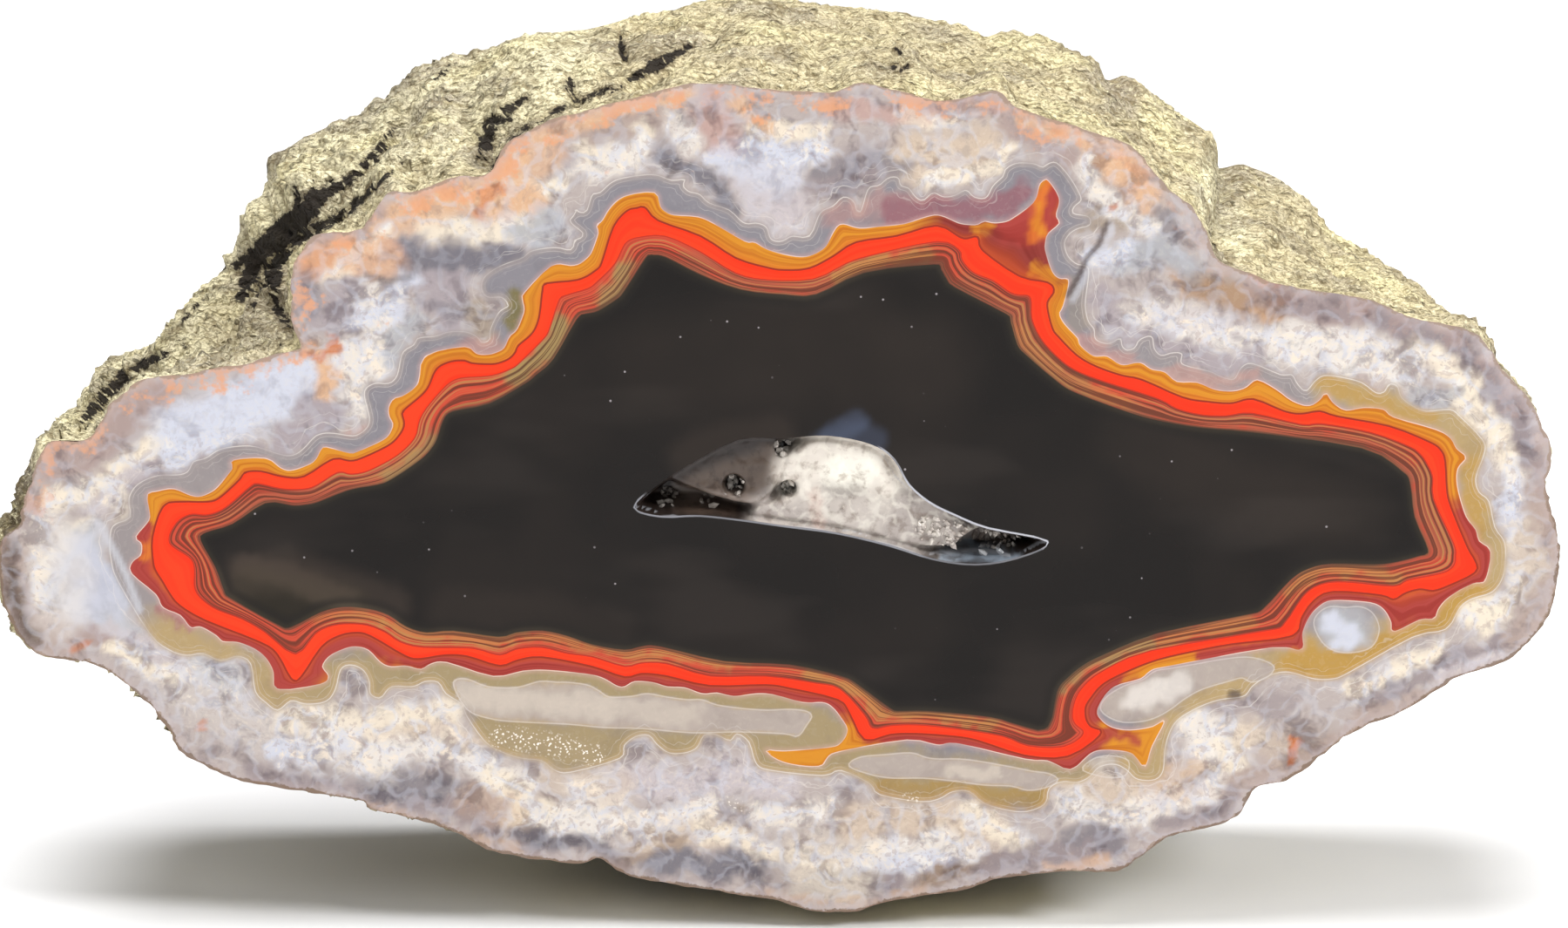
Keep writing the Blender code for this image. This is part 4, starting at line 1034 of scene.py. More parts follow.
# %% Thin marks on the face: strength, half width in pixels, run
THIN_PALE = [
    (0.8, 3.4, 112, 600, 132, 634, 145, 660, 160, 700), (0.5, 3.2, 118, 605, 80, 640, 56, 690),
    (0.6, 3.0, 1277, 260, 1268, 284, 1254, 300, 1244, 322, 1232, 344),
]
HOLLOW_RIM = [
    (1.0, 7.0, 1013, 523, 1028, 546, 1044, 560, 1067, 575, 1095, 590, 1134, 605, 1178, 615, 1204, 622),
    (0.5, 6.0, 735, 574, 726, 582, 760, 593, 850, 602, 900, 606, 979, 613, 1007, 623, 1057, 638),
    (0.35, 8.0, 1057, 638, 1100, 642, 1166, 641, 1204, 622),
]
CALM_PATCHES = [
    (1.0, 30.0, 95, 630, 105, 670, 100, 690, 140, 690), (0.6, 34.0, 150, 470, 230, 462, 330, 440),
    (0.5, 30.0, 560, 300, 480, 300), (0.5, 30.0, 840, 210, 900, 225),
]
THIN_DARK = [
    (0.75, 2.8, 1271, 256, 1262, 280, 1248, 296, 1238, 318, 1226, 338), (0.8, 4.0, 1414, 797, 1420, 797),
    (0.5, 3.0, 765, 190, 776, 196, 768, 202), (0.45, 3.0, 420, 316, 446, 322, 470, 318),
]
# Patches of small crystals, tinted and dotted with painted glints.
SPARKLE_PATCHES = [
    (1.0, 9.0, 574, 846, 620, 852, 684, 866), (0.6, 5.0, 1040, 915, 1050, 919),
    (0.6, 5.0, 838, 920, 850, 926),
]

# %% Laying the strokes on a sheet
STROKE_BEND_PX = 10.0
STROKE_EDGE = 0.55
BROAD_NOISE = 0.0022
FINE_NOISE = 0.0006


def bent_view(places, seen):
    """The picture places of the points, pushed about by noise, so that strokes get natural edges."""
    push = np.zeros_like(seen)
    for axis in (0, 1):
        push[:, axis] += noise_at(places, BROAD_NOISE, 11.0 + 5.0 * axis)
        push[:, axis] += 0.8 * noise_at(places, FINE_NOISE, 31.0 + 5.0 * axis)
    return seen + STROKE_BEND_PX * push


def lay_strokes(colours, spots, strokes, mask=1.0):
    for tint, cover, half_width, *numbers in strokes:
        run = pixel_run(*numbers)
        reach = half_width * (1.0 + STROKE_EDGE)
        low, high = run.min(axis=0) - reach, run.max(axis=0) + reach
        near = np.flatnonzero(np.all((spots > low) & (spots < high), axis=1))
        away = distance_to_run(spots[near], run)
        weight = cover * soft_step(reach, half_width * (1.0 - STROKE_EDGE), away)
        weight = weight * (mask[near] if np.ndim(mask) else mask)
        colours[near, :3] += weight[:, None] * (TINTS[tint] - colours[near, :3])
    return colours


def filled(count, tint):
    return np.tile(np.append(TINTS[tint], 1.0), (count, 1))


def thin_marks(seen, marks):
    """How strongly a few thin marks show at each spot: they aren't bent, unlike the strokes."""
    shown = np.zeros(len(seen))
    for strength, half_width, *numbers in marks:
        away = distance_to_run(seen, pixel_run(*numbers))
        shown = np.maximum(shown, strength * soft_step(2.0 * half_width, 0.4 * half_width, away))
    return shown


# %% Distances and tints on both sheets
LENSES_PX = [LONG_LENS_PX, PALE_LENS_PX, RIGHT_LENS_PX, EYE_LENS_PX, AMBER_TIP_LENS_PX]


def dress_with_bands(piece, seen, places):
    """Keeps the distances to the bands in mm, and the soft tints, at each point of a sheet."""
    lines = {
        "to_pale": PALE_LINE_PX,
        "to_red": RED_OUTER_PX,
        "to_brick": RED_INNER_PX,
        "to_dark": DARK_EDGE_PX,
        "to_cloud": CLOUD_EDGE_PX,
    }
    away = {}
    for name, line in lines.items():
        away[name] = signed_distance(seen, smooth_ring(line))
        keep_values(piece, name, away[name] * PIXEL_MM)
    lens = np.min([signed_distance(seen, smooth_ring(ring)) for ring in LENSES_PX], axis=0)
    keep_values(piece, "to_lens", lens * PIXEL_MM)
    rim = -signed_distance(seen, smooth_ring(FACE_EDGE_PX))
    keep_values(piece, "to_rim", rim * PIXEL_MM)
    spots = bent_view(places, seen)
    count = len(seen)
    cloud = lay_strokes(filled(count, "lilac_grey"), spots, CLOUD_STROKES)
    inner_zone = soft_step(5.0, -4.0, away["to_cloud"])
    smoke = filled(count, "smoke")
    smoke = lay_strokes(smoke, spots, KHAKI_STROKES)
    cloud[:, :3] += inner_zone[:, None] * (smoke[:, :3] - cloud[:, :3])
    cloud = lay_strokes(cloud, spots, LENS_STROKES, soft_step(1.5, -1.5, lens))
    keep_values(piece, "cloud_tint", cloud)
    keep_values(piece, "amber_tint", lay_strokes(filled(count, "amber"), spots, AMBER_STROKES))
    keep_values(piece, "brick_tint", lay_strokes(filled(count, "brick"), spots, BRICK_STROKES))
    dark = np.tile([0.0, 0.0, 0.0, 1.0], (count, 1))
    # Smoky haze of the dark middle, with a painted highlight above the hollow.
    keep_values(piece, "smoke_and_highlight_tint", lay_strokes(dark, 0.3 * spots + 0.7 * seen, SMOKE_AND_HIGHLIGHT_STROKES))
    shine = cloud[:, :3].mean(axis=1)
    fluff = soft_step(0.42, 0.78, shine) * soft_step(-3.0, 8.0, away["to_cloud"])
    calm = thin_marks(seen, CALM_PATCHES)
    keep_values(piece, "calm", calm)
    keep_values(piece, "fluff", fluff * (1.0 - calm))


face_places = points_of(polished_face.data)
face_seen = picture_of(face_places)
dress_with_bands(polished_face, face_seen, face_places)
keep_values(polished_face, "thin_pale", thin_marks(face_seen, THIN_PALE))
keep_values(polished_face, "thin_dark", thin_marks(face_seen, THIN_DARK))
keep_values(polished_face, "hollow_rim", thin_marks(face_seen, HOLLOW_RIM))
to_hollow = signed_distance(face_seen, smooth_ring(HOLLOW_EDGE_PX))
keep_values(polished_face, "to_hollow", to_hollow * PIXEL_MM)
keep_values(polished_face, "sparkle", thin_marks(face_seen, SPARKLE_PATCHES))
print("face values kept at", len(face_places), "points")

# %% The back looks up its place on the face
back_places = points_of(sawn_back.data)
back_turns, back_reaches = turn_and_reach(back_places[:, [0, 2]])
edge_turns, edge_reaches = turn_and_reach(back_edge)
share = back_reaches / np.interp(back_turns, edge_turns, edge_reaches, period=FULL_TURN)
on_front = share * np.interp(back_turns, turns, face_reach, period=FULL_TURN)
front_places = np.stack(
    [
        middle[0] + HALF_WIDTH * on_front * np.cos(back_turns),
        np.full(len(back_places), FRONT_Y),
        middle[1] + HALF_HEIGHT * on_front * np.sin(back_turns),
    ],
    axis=1,
)
DEEPER_DRIFT = 0.0016
for axis in (0, 2):
    front_places[:, axis] += DEEPER_DRIFT * noise_at(back_places, 0.011, 3.0 * axis)
dress_with_bands(sawn_back, picture_of(front_places), back_places)

# %% [markdown]
# ## Building finishes from nodes
#
# A finish is a Principled shader fed by a few small steps. These helpers add one node each, so
# that a recipe below reads as a list of steps instead of a page of links.

# %% Node helpers
def new_finish(name):
    finish = bpy.data.materials.new(name)
    finish.use_nodes = True
    shader = finish.node_tree.nodes["Principled BSDF"]
    return finish, finish.node_tree, shader


def feed(tree, socket, value):
    if isinstance(value, bpy.types.NodeSocket):
        tree.links.new(value, socket)
    elif hasattr(value, "__len__"):
        socket.default_value = (*value[:3], 1.0) if len(socket.default_value) == 4 else value
    else:
        socket.default_value = value


def kept_value(tree, name):
    node = tree.nodes.new("ShaderNodeAttribute")
    node.attribute_name = name
    return node.outputs["Fac"]


def kept_colour(tree, name):
    node = tree.nodes.new("ShaderNodeAttribute")
    node.attribute_name = name
    return node.outputs["Color"]


def sums(tree, operation, first, second=0.0, third=0.0):
    node = tree.nodes.new("ShaderNodeMath")
    node.operation = operation
    for socket, value in zip(node.inputs, (first, second, third)):
        feed(tree, socket, value)
    return node.outputs[0]


def ramp_to(tree, value, low, high, start=0.0, end=1.0):
    """A smooth step from start to end, while value goes from low to high."""
    node = tree.nodes.new("ShaderNodeMapRange")
    node.interpolation_type = "SMOOTHSTEP"
    settings = {"Value": value, "From Min": low, "From Max": high, "To Min": start, "To Max": end}
    for name, given in settings.items():
        feed(tree, node.inputs[name], given)
    return node.outputs["Result"]


def line_at(tree, distance, centre, half, soft):
    """One on a thin line where the distance is centre, zero away from it."""
    away = sums(tree, "ABSOLUTE", sums(tree, "SUBTRACT", distance, centre))
    return ramp_to(tree, away, half + soft, half)


def blend(tree, share, below, above, way="MIX"):
    node = tree.nodes.new("ShaderNodeMix")
    node.data_type = "RGBA"
    node.blend_type = way
    feed(tree, node.inputs["Factor"], share)
    feed(tree, node.inputs[6], below)
    feed(tree, node.inputs[7], above)
    return node.outputs[2]


def place_nodes(tree):
    return tree.nodes.new("ShaderNodeTexCoord").outputs["Object"]


def speckle(tree, where, per_metre, detail=2.0, roughness=0.5):
    node = tree.nodes.new("ShaderNodeTexNoise")
    feed(tree, node.inputs["Vector"], where)
    node.inputs["Scale"].default_value = per_metre
    node.inputs["Detail"].default_value = detail
    node.inputs["Roughness"].default_value = roughness
    return node.outputs["Fac"]


def ridges(tree, where, per_metre, detail=3.0):
    """Noise with sharp crests, between 0 and about 1."""
    node = tree.nodes.new("ShaderNodeTexNoise")
    node.noise_type = "RIDGED_MULTIFRACTAL"
    feed(tree, node.inputs["Vector"], where)
    node.inputs["Scale"].default_value = per_metre
    node.inputs["Detail"].default_value = detail
    node.inputs["Roughness"].default_value = 0.55
    node.inputs["Offset"].default_value = 1.0
    node.inputs["Gain"].default_value = 1.0
    return sums(tree, "MULTIPLY", node.outputs["Fac"], 0.6)


def pushed(tree, where, per_metre, far):
    """Places pushed about by noise, so that a pattern read there looks drawn out and curled."""
    node = tree.nodes.new("ShaderNodeTexNoise")
    feed(tree, node.inputs["Vector"], where)
    node.inputs["Scale"].default_value = per_metre
    node.inputs["Detail"].default_value = 1.0
    push = tree.nodes.new("ShaderNodeVectorMath")
    push.operation = "MULTIPLY_ADD"
    tree.links.new(node.outputs["Color"], push.inputs[0])
    push.inputs[1].default_value = (far, far, far)
    feed(tree, push.inputs[2], where)
    return push.outputs[0]


def cells(tree, where, per_metre):
    node = tree.nodes.new("ShaderNodeTexVoronoi")
    feed(tree, node.inputs["Vector"], where)
    node.inputs["Scale"].default_value = per_metre
    return node.outputs["Distance"]


def bumpy(tree, height, distance, strength=1.0):
    node = tree.nodes.new("ShaderNodeBump")
    feed(tree, node.inputs["Height"], height)
    node.inputs["Distance"].default_value = distance
    node.inputs["Strength"].default_value = strength
    return node.outputs["Normal"]


print("finish helpers ready")

# %% [markdown]
# ## The finish of cut agate
#
# From the rim inwards the layers are: a thin brown skin, cloudy white and lilac quartz with fine
# wavy lines, a smoky or khaki zone, a thin pale line, amber or maroon, a bright red band with dark
# edges, a brick zone with thin golden lines, and the dark middle. Each step below lays one layer
# over the last, cut by its distance. The face and the back share the recipe. The face is polished
# and the back is left as the saw cut it.

# %% The cloudy outer zone
def cloudy_zone(tree, where):
    """White clouds in lilac-grey quartz: where there is more fluff, less noise makes white."""
    tint = kept_colour(tree, "cloud_tint")
    fluff = kept_value(tree, "fluff")
    to_cloud = kept_value(tree, "to_cloud")
    curled = pushed(tree, where, 650.0, 0.0011)
    broad = speckle(tree, where, 330.0, 2.0, 0.6)
    billow = speckle(tree, curled, 1100.0, 4.0, 0.62)
    mottle = speckle(tree, curled, 520.0, 3.0, 0.6)
    lace = ridges(tree, curled, 720.0, 2.0)
    clumps = cells(tree, curled, 1050.0)
    outside = ramp_to(tree, to_cloud, -0.1, 0.35)
    spotty = sums(tree, "MULTIPLY_ADD", outside, 0.8, 0.2)
    dim = sums(tree, "MULTIPLY", ramp_to(tree, mottle, 0.5, 0.34, 0.0, 0.6), spotty)
    colour = blend(tree, dim, tint, TINTS["grey_mauve"], "MULTIPLY")
    dim = sums(tree, "MULTIPLY", ramp_to(tree, billow, 0.46, 0.34, 0.0, 0.25), spotty)
    colour = blend(tree, dim, colour, TINTS["slate"])
    lace_share = sums(tree, "MULTIPLY_ADD", fluff, 0.35, 0.22)
    lace_light = sums(tree, "MULTIPLY", ramp_to(tree, lace, 0.5, 0.85), sums(tree, "MULTIPLY", lace_share, outside))
    colour = blend(tree, lace_light, colour, TINTS["ice"])
    level = sums(tree, "MULTIPLY_ADD", fluff, -0.22, 0.7)
    level = sums(tree, "MULTIPLY_ADD", clumps, 0.16, sums(tree, "SUBTRACT", level, 0.05))
    puff = ramp_to(tree, billow, level, sums(tree, "ADD", level, 0.16))
    puff_tint = blend(tree, ramp_to(tree, broad, 0.42, 0.56), shade("F2F3F8"), shade("FAF0E4"))
    colour = blend(tree, sums(tree, "MULTIPLY", puff, sums(tree, "MULTIPLY", outside, 0.8)), colour, puff_tint)
    dabs = speckle(tree, curled, 2600.0, 2.0, 0.6)
    dab_share = sums(tree, "MULTIPLY_ADD", fluff, 0.32, 0.05)
    dab = sums(tree, "MULTIPLY", ramp_to(tree, dabs, 0.55, 0.62), dab_share)
    colour = blend(tree, dab, colour, TINTS["cream"])
    dab = sums(tree, "MULTIPLY", ramp_to(tree, dabs, 0.44, 0.38), dab_share)
    colour = blend(tree, dab, colour, TINTS["mauve"])
    calm = sums(tree, "MULTIPLY", kept_value(tree, "calm"), 0.75)
    colour = blend(tree, calm, colour, tint)
    lobes = cells(tree, curled, 620.0)
    lobed = sums(tree, "MULTIPLY_ADD", lobes, -0.75, to_cloud)
    finer = sums(tree, "MULTIPLY_ADD", cells(tree, curled, 1250.0), -0.45, to_cloud)
    strength = ramp_to(tree, broad, 0.36, 0.56, 0.25, 1.0)
    inside = ramp_to(tree, to_cloud, 0.0, -0.5)
    across = tree.nodes.new("ShaderNodeSeparateXYZ")
    feed(tree, across.inputs[0], where)
    near = sums(tree, "MINIMUM", ramp_to(tree, across.outputs["X"], -0.036, -0.024, 0.15, 0.85),
                ramp_to(tree, across.outputs["X"], 0.026, 0.018, 0.2, 0.85))
    inside = sums(tree, "MULTIPLY", inside, ramp_to(tree, kept_value(tree, "to_lens"), 0.0, 0.1))
    inside = sums(tree, "MULTIPLY", inside, near)
    colour = blend(tree, inside, colour, (0.73, 0.8, 0.93), "MULTIPLY")
    for distance, centre, half, share in (
        (to_cloud, 0.0, 0.013, 0.7),
        (to_cloud, -0.22, 0.01, 0.25),
        (lobed, 0.12, 0.011, 0.4),
        (finer, 0.4, 0.01, 0.32),
        (finer, 0.9, 0.01, 0.2),
        (finer, -0.75, 0.01, 0.22),
    ):
        line = line_at(tree, distance, centre, half, 0.03)
        line = sums(tree, "MULTIPLY", line, sums(tree, "MULTIPLY", strength, share))
        colour = blend(tree, line, colour, TINTS["white"])
    colour = blend(tree, 1.0, colour, (0.81, 0.765, 0.69), "MULTIPLY")
    to_lens = kept_value(tree, "to_lens")
    ring = line_at(tree, to_lens, 0.0, 0.02, 0.04)
    return blend(tree, sums(tree, "MULTIPLY", ring, 0.4), colour, TINTS["lens_pale"])


# %% The rim of the cut
def rim_zone(tree, where, colour):
    to_rim = kept_value(tree, "to_rim")
    height = tree.nodes.new("ShaderNodeSeparateXYZ")
    feed(tree, height.inputs[0], where)
    upper = ramp_to(tree, height.outputs["Z"], 0.022, 0.034)
    upper = sums(tree, "MULTIPLY", upper, ramp_to(tree, height.outputs["X"], 0.028, 0.012, 0.12, 1.0))
    blots = speckle(tree, where, 480.0, 4.0, 0.68)
    near_rim = ramp_to(tree, to_rim, 2.9, 0.4)
    stain_level = sums(tree, "MULTIPLY_ADD", near_rim, -0.2, 0.66)
    stain = ramp_to(tree, blots, stain_level, sums(tree, "ADD", stain_level, 0.12))
    stain = sums(tree, "MULTIPLY", stain, sums(tree, "MULTIPLY", upper, 0.8))
    colour = blend(tree, stain, colour, shade("D99A70"))
    ragged = sums(tree, "MULTIPLY_ADD", speckle(tree, where, 1400.0, 3.0, 0.6), 0.9, to_rim)
    grey = ramp_to(tree, ragged, 1.35, 0.55)
    colour = blend(tree, sums(tree, "MULTIPLY", grey, 0.35), colour, TINTS["warm_grey"])
    skin = ramp_to(tree, ragged, 0.62, 0.5)
    colour = blend(tree, sums(tree, "MULTIPLY", skin, 0.75), colour, TINTS["brown_grey"])
    crumbled = speckle(tree, where, 900.0, 4.0, 0.7)
    low = ramp_to(tree, height.outputs["Z"], 0.032, 0.024)
    chip = ramp_to(tree, sums(tree, "MULTIPLY_ADD", crumbled, -0.9, to_rim), -0.28, -0.36)
    return blend(tree, sums(tree, "MULTIPLY", chip, sums(tree, "MULTIPLY", low, 0.8)), colour, shade("75604F"))


# %% The amber and maroon band, and the bright red one
def streaks(tree, share, where, count, stretch):
    """Thin lines that run with a band: noise read mostly across it."""
    node = tree.nodes.new("ShaderNodeVectorMath")
    node.operation = "MULTIPLY"
    feed(tree, node.inputs[0], where)
    node.inputs[1].default_value = (stretch, stretch, stretch)
    across = tree.nodes.new("ShaderNodeCombineXYZ")
    feed(tree, across.inputs["Z"], sums(tree, "MULTIPLY", share, count))
    add = tree.nodes.new("ShaderNodeVectorMath")
    add.operation = "ADD"
    tree.links.new(node.outputs[0], add.inputs[0])
    tree.links.new(across.outputs[0], add.inputs[1])
    return speckle(tree, add.outputs[0], 1.0, 2.0, 0.55)


def share_between(tree, outer, inner):
    """Zero at a band's outer line and one at its inner line."""
    depth = sums(tree, "MAXIMUM", sums(tree, "MULTIPLY", outer, -1.0), 0.0)
    left = sums(tree, "MAXIMUM", inner, 0.0)
    return sums(tree, "DIVIDE", depth, sums(tree, "ADD", sums(tree, "ADD", depth, left), 1.0e-4))


def amber_band(tree, where, colour):
    to_pale = kept_value(tree, "to_pale")
    to_red = kept_value(tree, "to_red")
    tint = kept_colour(tree, "amber_tint")
    share = share_between(tree, to_pale, to_red)
    bands = streaks(tree, share, where, 5.0, 90.0)
    tint = blend(tree, ramp_to(tree, bands, 0.42, 0.62, 0.0, 0.45), tint, shade("C65A28"), "MULTIPLY")
    tint = blend(tree, ramp_to(tree, share, 0.45, 1.0, 0.0, 0.55), tint, shade("D4581C"))
    tint = blend(tree, 1.0, tint, (0.9, 0.86, 0.8), "MULTIPLY")
    tint = blend(tree, line_at(tree, to_red, 0.05, 0.045, 0.05), tint, shade("8E2A16"))
    glow = ramp_to(tree, to_pale, 0.35, 0.02)
    colour = blend(tree, sums(tree, "MULTIPLY", glow, 0.3), colour, TINTS["rosy"])
    colour = blend(tree, ramp_to(tree, to_pale, 0.03, -0.03), colour, tint)
    pale = line_at(tree, to_pale, 0.01, 0.012, 0.03)
    thinner = ramp_to(tree, speckle(tree, where, 500.0), 0.3, 0.6, 0.15, 0.65)
    return blend(tree, sums(tree, "MULTIPLY", pale, thinner), colour, shade("EBD3C4"))


def red_band(tree, where, colour):
    to_red = kept_value(tree, "to_red")
    to_brick = kept_value(tree, "to_brick")
    share = share_between(tree, to_red, to_brick)
    bands = streaks(tree, share, where, 3.0, 60.0)
    red = blend(tree, ramp_to(tree, bands, 0.4, 0.65), shade("EC2E0A"), shade("F43A12"))
    red = blend(tree, line_at(tree, to_brick, 0.03, 0.03, 0.05), red, shade("B02C18"))
    return blend(tree, ramp_to(tree, to_red, 0.025, -0.025), colour, red)


# %% The brick zone and the dark middle
def brick_zone(tree, where, colour):
    to_brick = kept_value(tree, "to_brick")
    to_dark = kept_value(tree, "to_dark")
    share = share_between(tree, to_brick, to_dark)
    tint = kept_colour(tree, "brick_tint")
    lines = streaks(tree, share, where, 8.0, 80.0)
    tint = blend(tree, ramp_to(tree, lines, 0.54, 0.42, 0.0, 0.85), tint, shade("542B1C"))
    tint = blend(tree, ramp_to(tree, lines, 0.56, 0.63, 0.0, 0.7), tint, shade("A67C46"))
    tint = blend(tree, ramp_to(tree, share, 0.7, 1.0, 0.0, 0.6), tint, shade("5A4330"))
    return blend(tree, ramp_to(tree, to_brick, 0.025, -0.025), colour, tint)


def dark_middle(tree, where, colour):
    to_dark = kept_value(tree, "to_dark")
    smoke = kept_colour(tree, "smoke_and_highlight_tint")
    broad = speckle(tree, where, 110.0, 2.0, 0.55)
    dark = blend(tree, ramp_to(tree, broad, 0.35, 0.7), shade("100B08"), shade("1A1410"))
    slant = tree.nodes.new("ShaderNodeMapping")
    feed(tree, slant.inputs["Vector"], where)
    slant.inputs["Rotation"].default_value = (0.0, 0.5, 0.0)
    slant.inputs["Scale"].default_value = (0.35, 1.0, 1.0)
    haze = speckle(tree, slant.outputs[0], 230.0, 2.0, 0.5)
    dark = blend(tree, ramp_to(tree, haze, 0.5, 0.72, 0.0, 0.5), dark, shade("2A2420"))
    # Adds the smoky haze of the dark middle, and the painted highlight above the hollow.
    dark = blend(tree, 0.5, dark, smoke, "ADD")
    halo = ramp_to(tree, to_dark, -0.75, 0.0)
    dark = blend(tree, sums(tree, "MULTIPLY", halo, 0.22), dark, shade("4A4230"))
    edge = ramp_to(tree, to_dark, -0.9, -0.35)
    shadow = sums(tree, "MULTIPLY", edge, ramp_to(tree, to_dark, -0.1, -0.4))
    dark = blend(tree, sums(tree, "MULTIPLY", shadow, 0.6), dark, shade("120E0C"))
    dust = ramp_to(tree, cells(tree, where, 900.0), 0.08, 0.045)
    few = ramp_to(tree, speckle(tree, where, 160.0), 0.52, 0.6)
    dark = blend(tree, sums(tree, "MULTIPLY", dust, sums(tree, "MULTIPLY", few, 0.55)), dark, TINTS["lilac_grey"])
    return blend(tree, ramp_to(tree, to_dark, 0.06, -0.05), colour, dark)


# %% Polished face
def agate_colour(tree, where):
    colour = cloudy_zone(tree, where)
    colour = rim_zone(tree, where, colour)
    colour = amber_band(tree, where, colour)
    colour = red_band(tree, where, colour)
    colour = brick_zone(tree, where, colour)
    return dark_middle(tree, where, colour)


def marked(tree, where, colour):
    """The thin cracks and lines, and patches of tiny crystals dotted with painted glints."""
    bright = ramp_to(tree, cells(tree, pushed(tree, where, 3000.0, 0.0003), 4600.0), 0.4, 0.2)
    patch = kept_value(tree, "sparkle")
    # The sparkle patches get a tan tint of small crystals, then tiny cream dots of painted glints.
    colour = blend(tree, sums(tree, "MULTIPLY", patch, 0.45), colour, shade("A08E70"))
    colour = blend(tree, sums(tree, "MULTIPLY", patch, bright), colour, TINTS["cream"])
    colour = blend(tree, kept_value(tree, "thin_dark"), colour, shade("4B3F3E"))
    rim = line_at(tree, kept_value(tree, "to_hollow"), 0.05, 0.035, 0.05)
    colour = blend(tree, sums(tree, "MULTIPLY", rim, kept_value(tree, "hollow_rim")), colour, shade("B4B5BC"))
    return blend(tree, sums(tree, "MULTIPLY", kept_value(tree, "thin_pale"), 0.8), colour, shade("C2C3CA"))


def polished_finish():
    finish, tree, shader = new_finish("polished_agate")
    where = place_nodes(tree)
    feed(tree, shader.inputs["Base Color"], marked(tree, where, agate_colour(tree, where)))
    fluff = kept_value(tree, "fluff")
    wipe = speckle(tree, where, 260.0, 1.0, 0.6)
    gloss = ramp_to(tree, wipe, 0.3, 0.7, 0.10, 0.16)
    feed(tree, shader.inputs["Roughness"], sums(tree, "MULTIPLY_ADD", fluff, 0.12, gloss))
    shader.inputs["IOR"].default_value = 1.54
    shader.inputs["Specular IOR Level"].default_value = 0.14
    pits = cells(tree, where, 2200.0)
    feed(tree, shader.inputs["Normal"], bumpy(tree, sums(tree, "MULTIPLY", pits, fluff), 0.00002, 0.25))
    return finish


# %% Sawn back
def sawn_finish():
    finish, tree, shader = new_finish("sawn_agate")
    where = place_nodes(tree)
    colour = agate_colour(tree, where)
    dulled = blend(tree, 0.34, colour, TINTS["lens_grey"])
    spread = tree.nodes.new("ShaderNodeTexWave")
    spread.wave_type = "RINGS"
    spread.rings_direction = "SPHERICAL"
    shift = tree.nodes.new("ShaderNodeVectorMath")
    shift.operation = "ADD"
    feed(tree, shift.inputs[0], where)
    shift.inputs[1].default_value = (0.02, 0.0, 0.115)
    tree.links.new(shift.outputs[0], spread.inputs["Vector"])
    spread.inputs["Scale"].default_value = 300.0
    spread.inputs["Distortion"].default_value = 2.5
    spread.inputs["Detail"].default_value = 3.0
    spread.inputs["Detail Scale"].default_value = 0.4
    saw_marks = spread.outputs["Fac"]
    dust = speckle(tree, where, 5200.0, 2.0, 0.6)
    dulled = blend(tree, ramp_to(tree, saw_marks, 0.45, 1.0, 0.0, 0.09), dulled, TINTS["lens_pale"])
    feed(tree, shader.inputs["Base Color"], dulled)
    shader.inputs["Roughness"].default_value = 0.62
    marks = sums(tree, "MULTIPLY_ADD", dust, 0.5, saw_marks)
    feed(tree, shader.inputs["Normal"], bumpy(tree, marks, 0.00003, 0.4))
    return finish


def give_finish(piece, finish):
    piece.data.materials.clear()
    piece.data.materials.append(finish)


give_finish(polished_face, polished_finish())
give_finish(sawn_back, sawn_finish())
print("cut faces finished")

# %% [markdown]
# ## The rough skin's finish
#
# The skin is a pale, crumbly, yellowish crust over grey chalcedony. Shade is painted dark into its
# cracks and into the low parts of its grain, and light onto the high parts, onto its left side and
# onto a groove wall at the right. It is bright yellow in a few places, and finely streaked across
# its thickness. Colour and a fine bump do this, because the larger relief is in the mesh already.

# %% Patches of the skin
# The two palest strokes are painted light: the long one brightens the skin's left side, which faces away from the
# key light, and the short one lights a groove wall at the right.
SKIN_STROKES = [
    ("painted_skin_light", 0.75, 70, 60, 480, 220, 360, 300, 250, 420, 150, 620, 60),
    ("skin_grey", 0.8, 16, 1262, 88, 1282, 108), ("skin_grey", 0.8, 14, 1408, 190, 1422, 200),
    ("skin_grey", 0.7, 14, 1328, 116, 1352, 132), ("skin_yellow", 0.9, 14, 1318, 128, 1342, 146),
    ("painted_skin_light", 0.9, 18, 1390, 200, 1400, 250, 1424, 276),
    ("skin_brown", 0.7, 12, 1286, 98, 1298, 106), ("skin_grey", 0.6, 26, 470, 150, 520, 130),
    ("skin_brown", 0.4, 24, 250, 380, 290, 330, 330, 290),
    ("skin_dark", 0.9, 40, 14, 560, 0, 640, 10, 720),
]
TINTS["skin_grey"] = shade("B0A797")
TINTS["skin_yellow"] = shade("F3E9BC")
TINTS["skin_brown"] = shade("8A7658")
# Painted light, for the two palest strokes above.
TINTS["painted_skin_light"] = shade("FFF8D6")
TINTS["skin_dark"] = shade("4A3A2C")
TINTS["skin_cream"] = shade("D8CCAA")

skin_places = points_of(rough_skin.data)
skin_seen = bent_view(skin_places, picture_of(skin_places))
skin_tint = lay_strokes(filled(len(skin_places), "skin_cream"), skin_seen, SKIN_STROKES)
keep_values(rough_skin, "skin_tint", skin_tint)


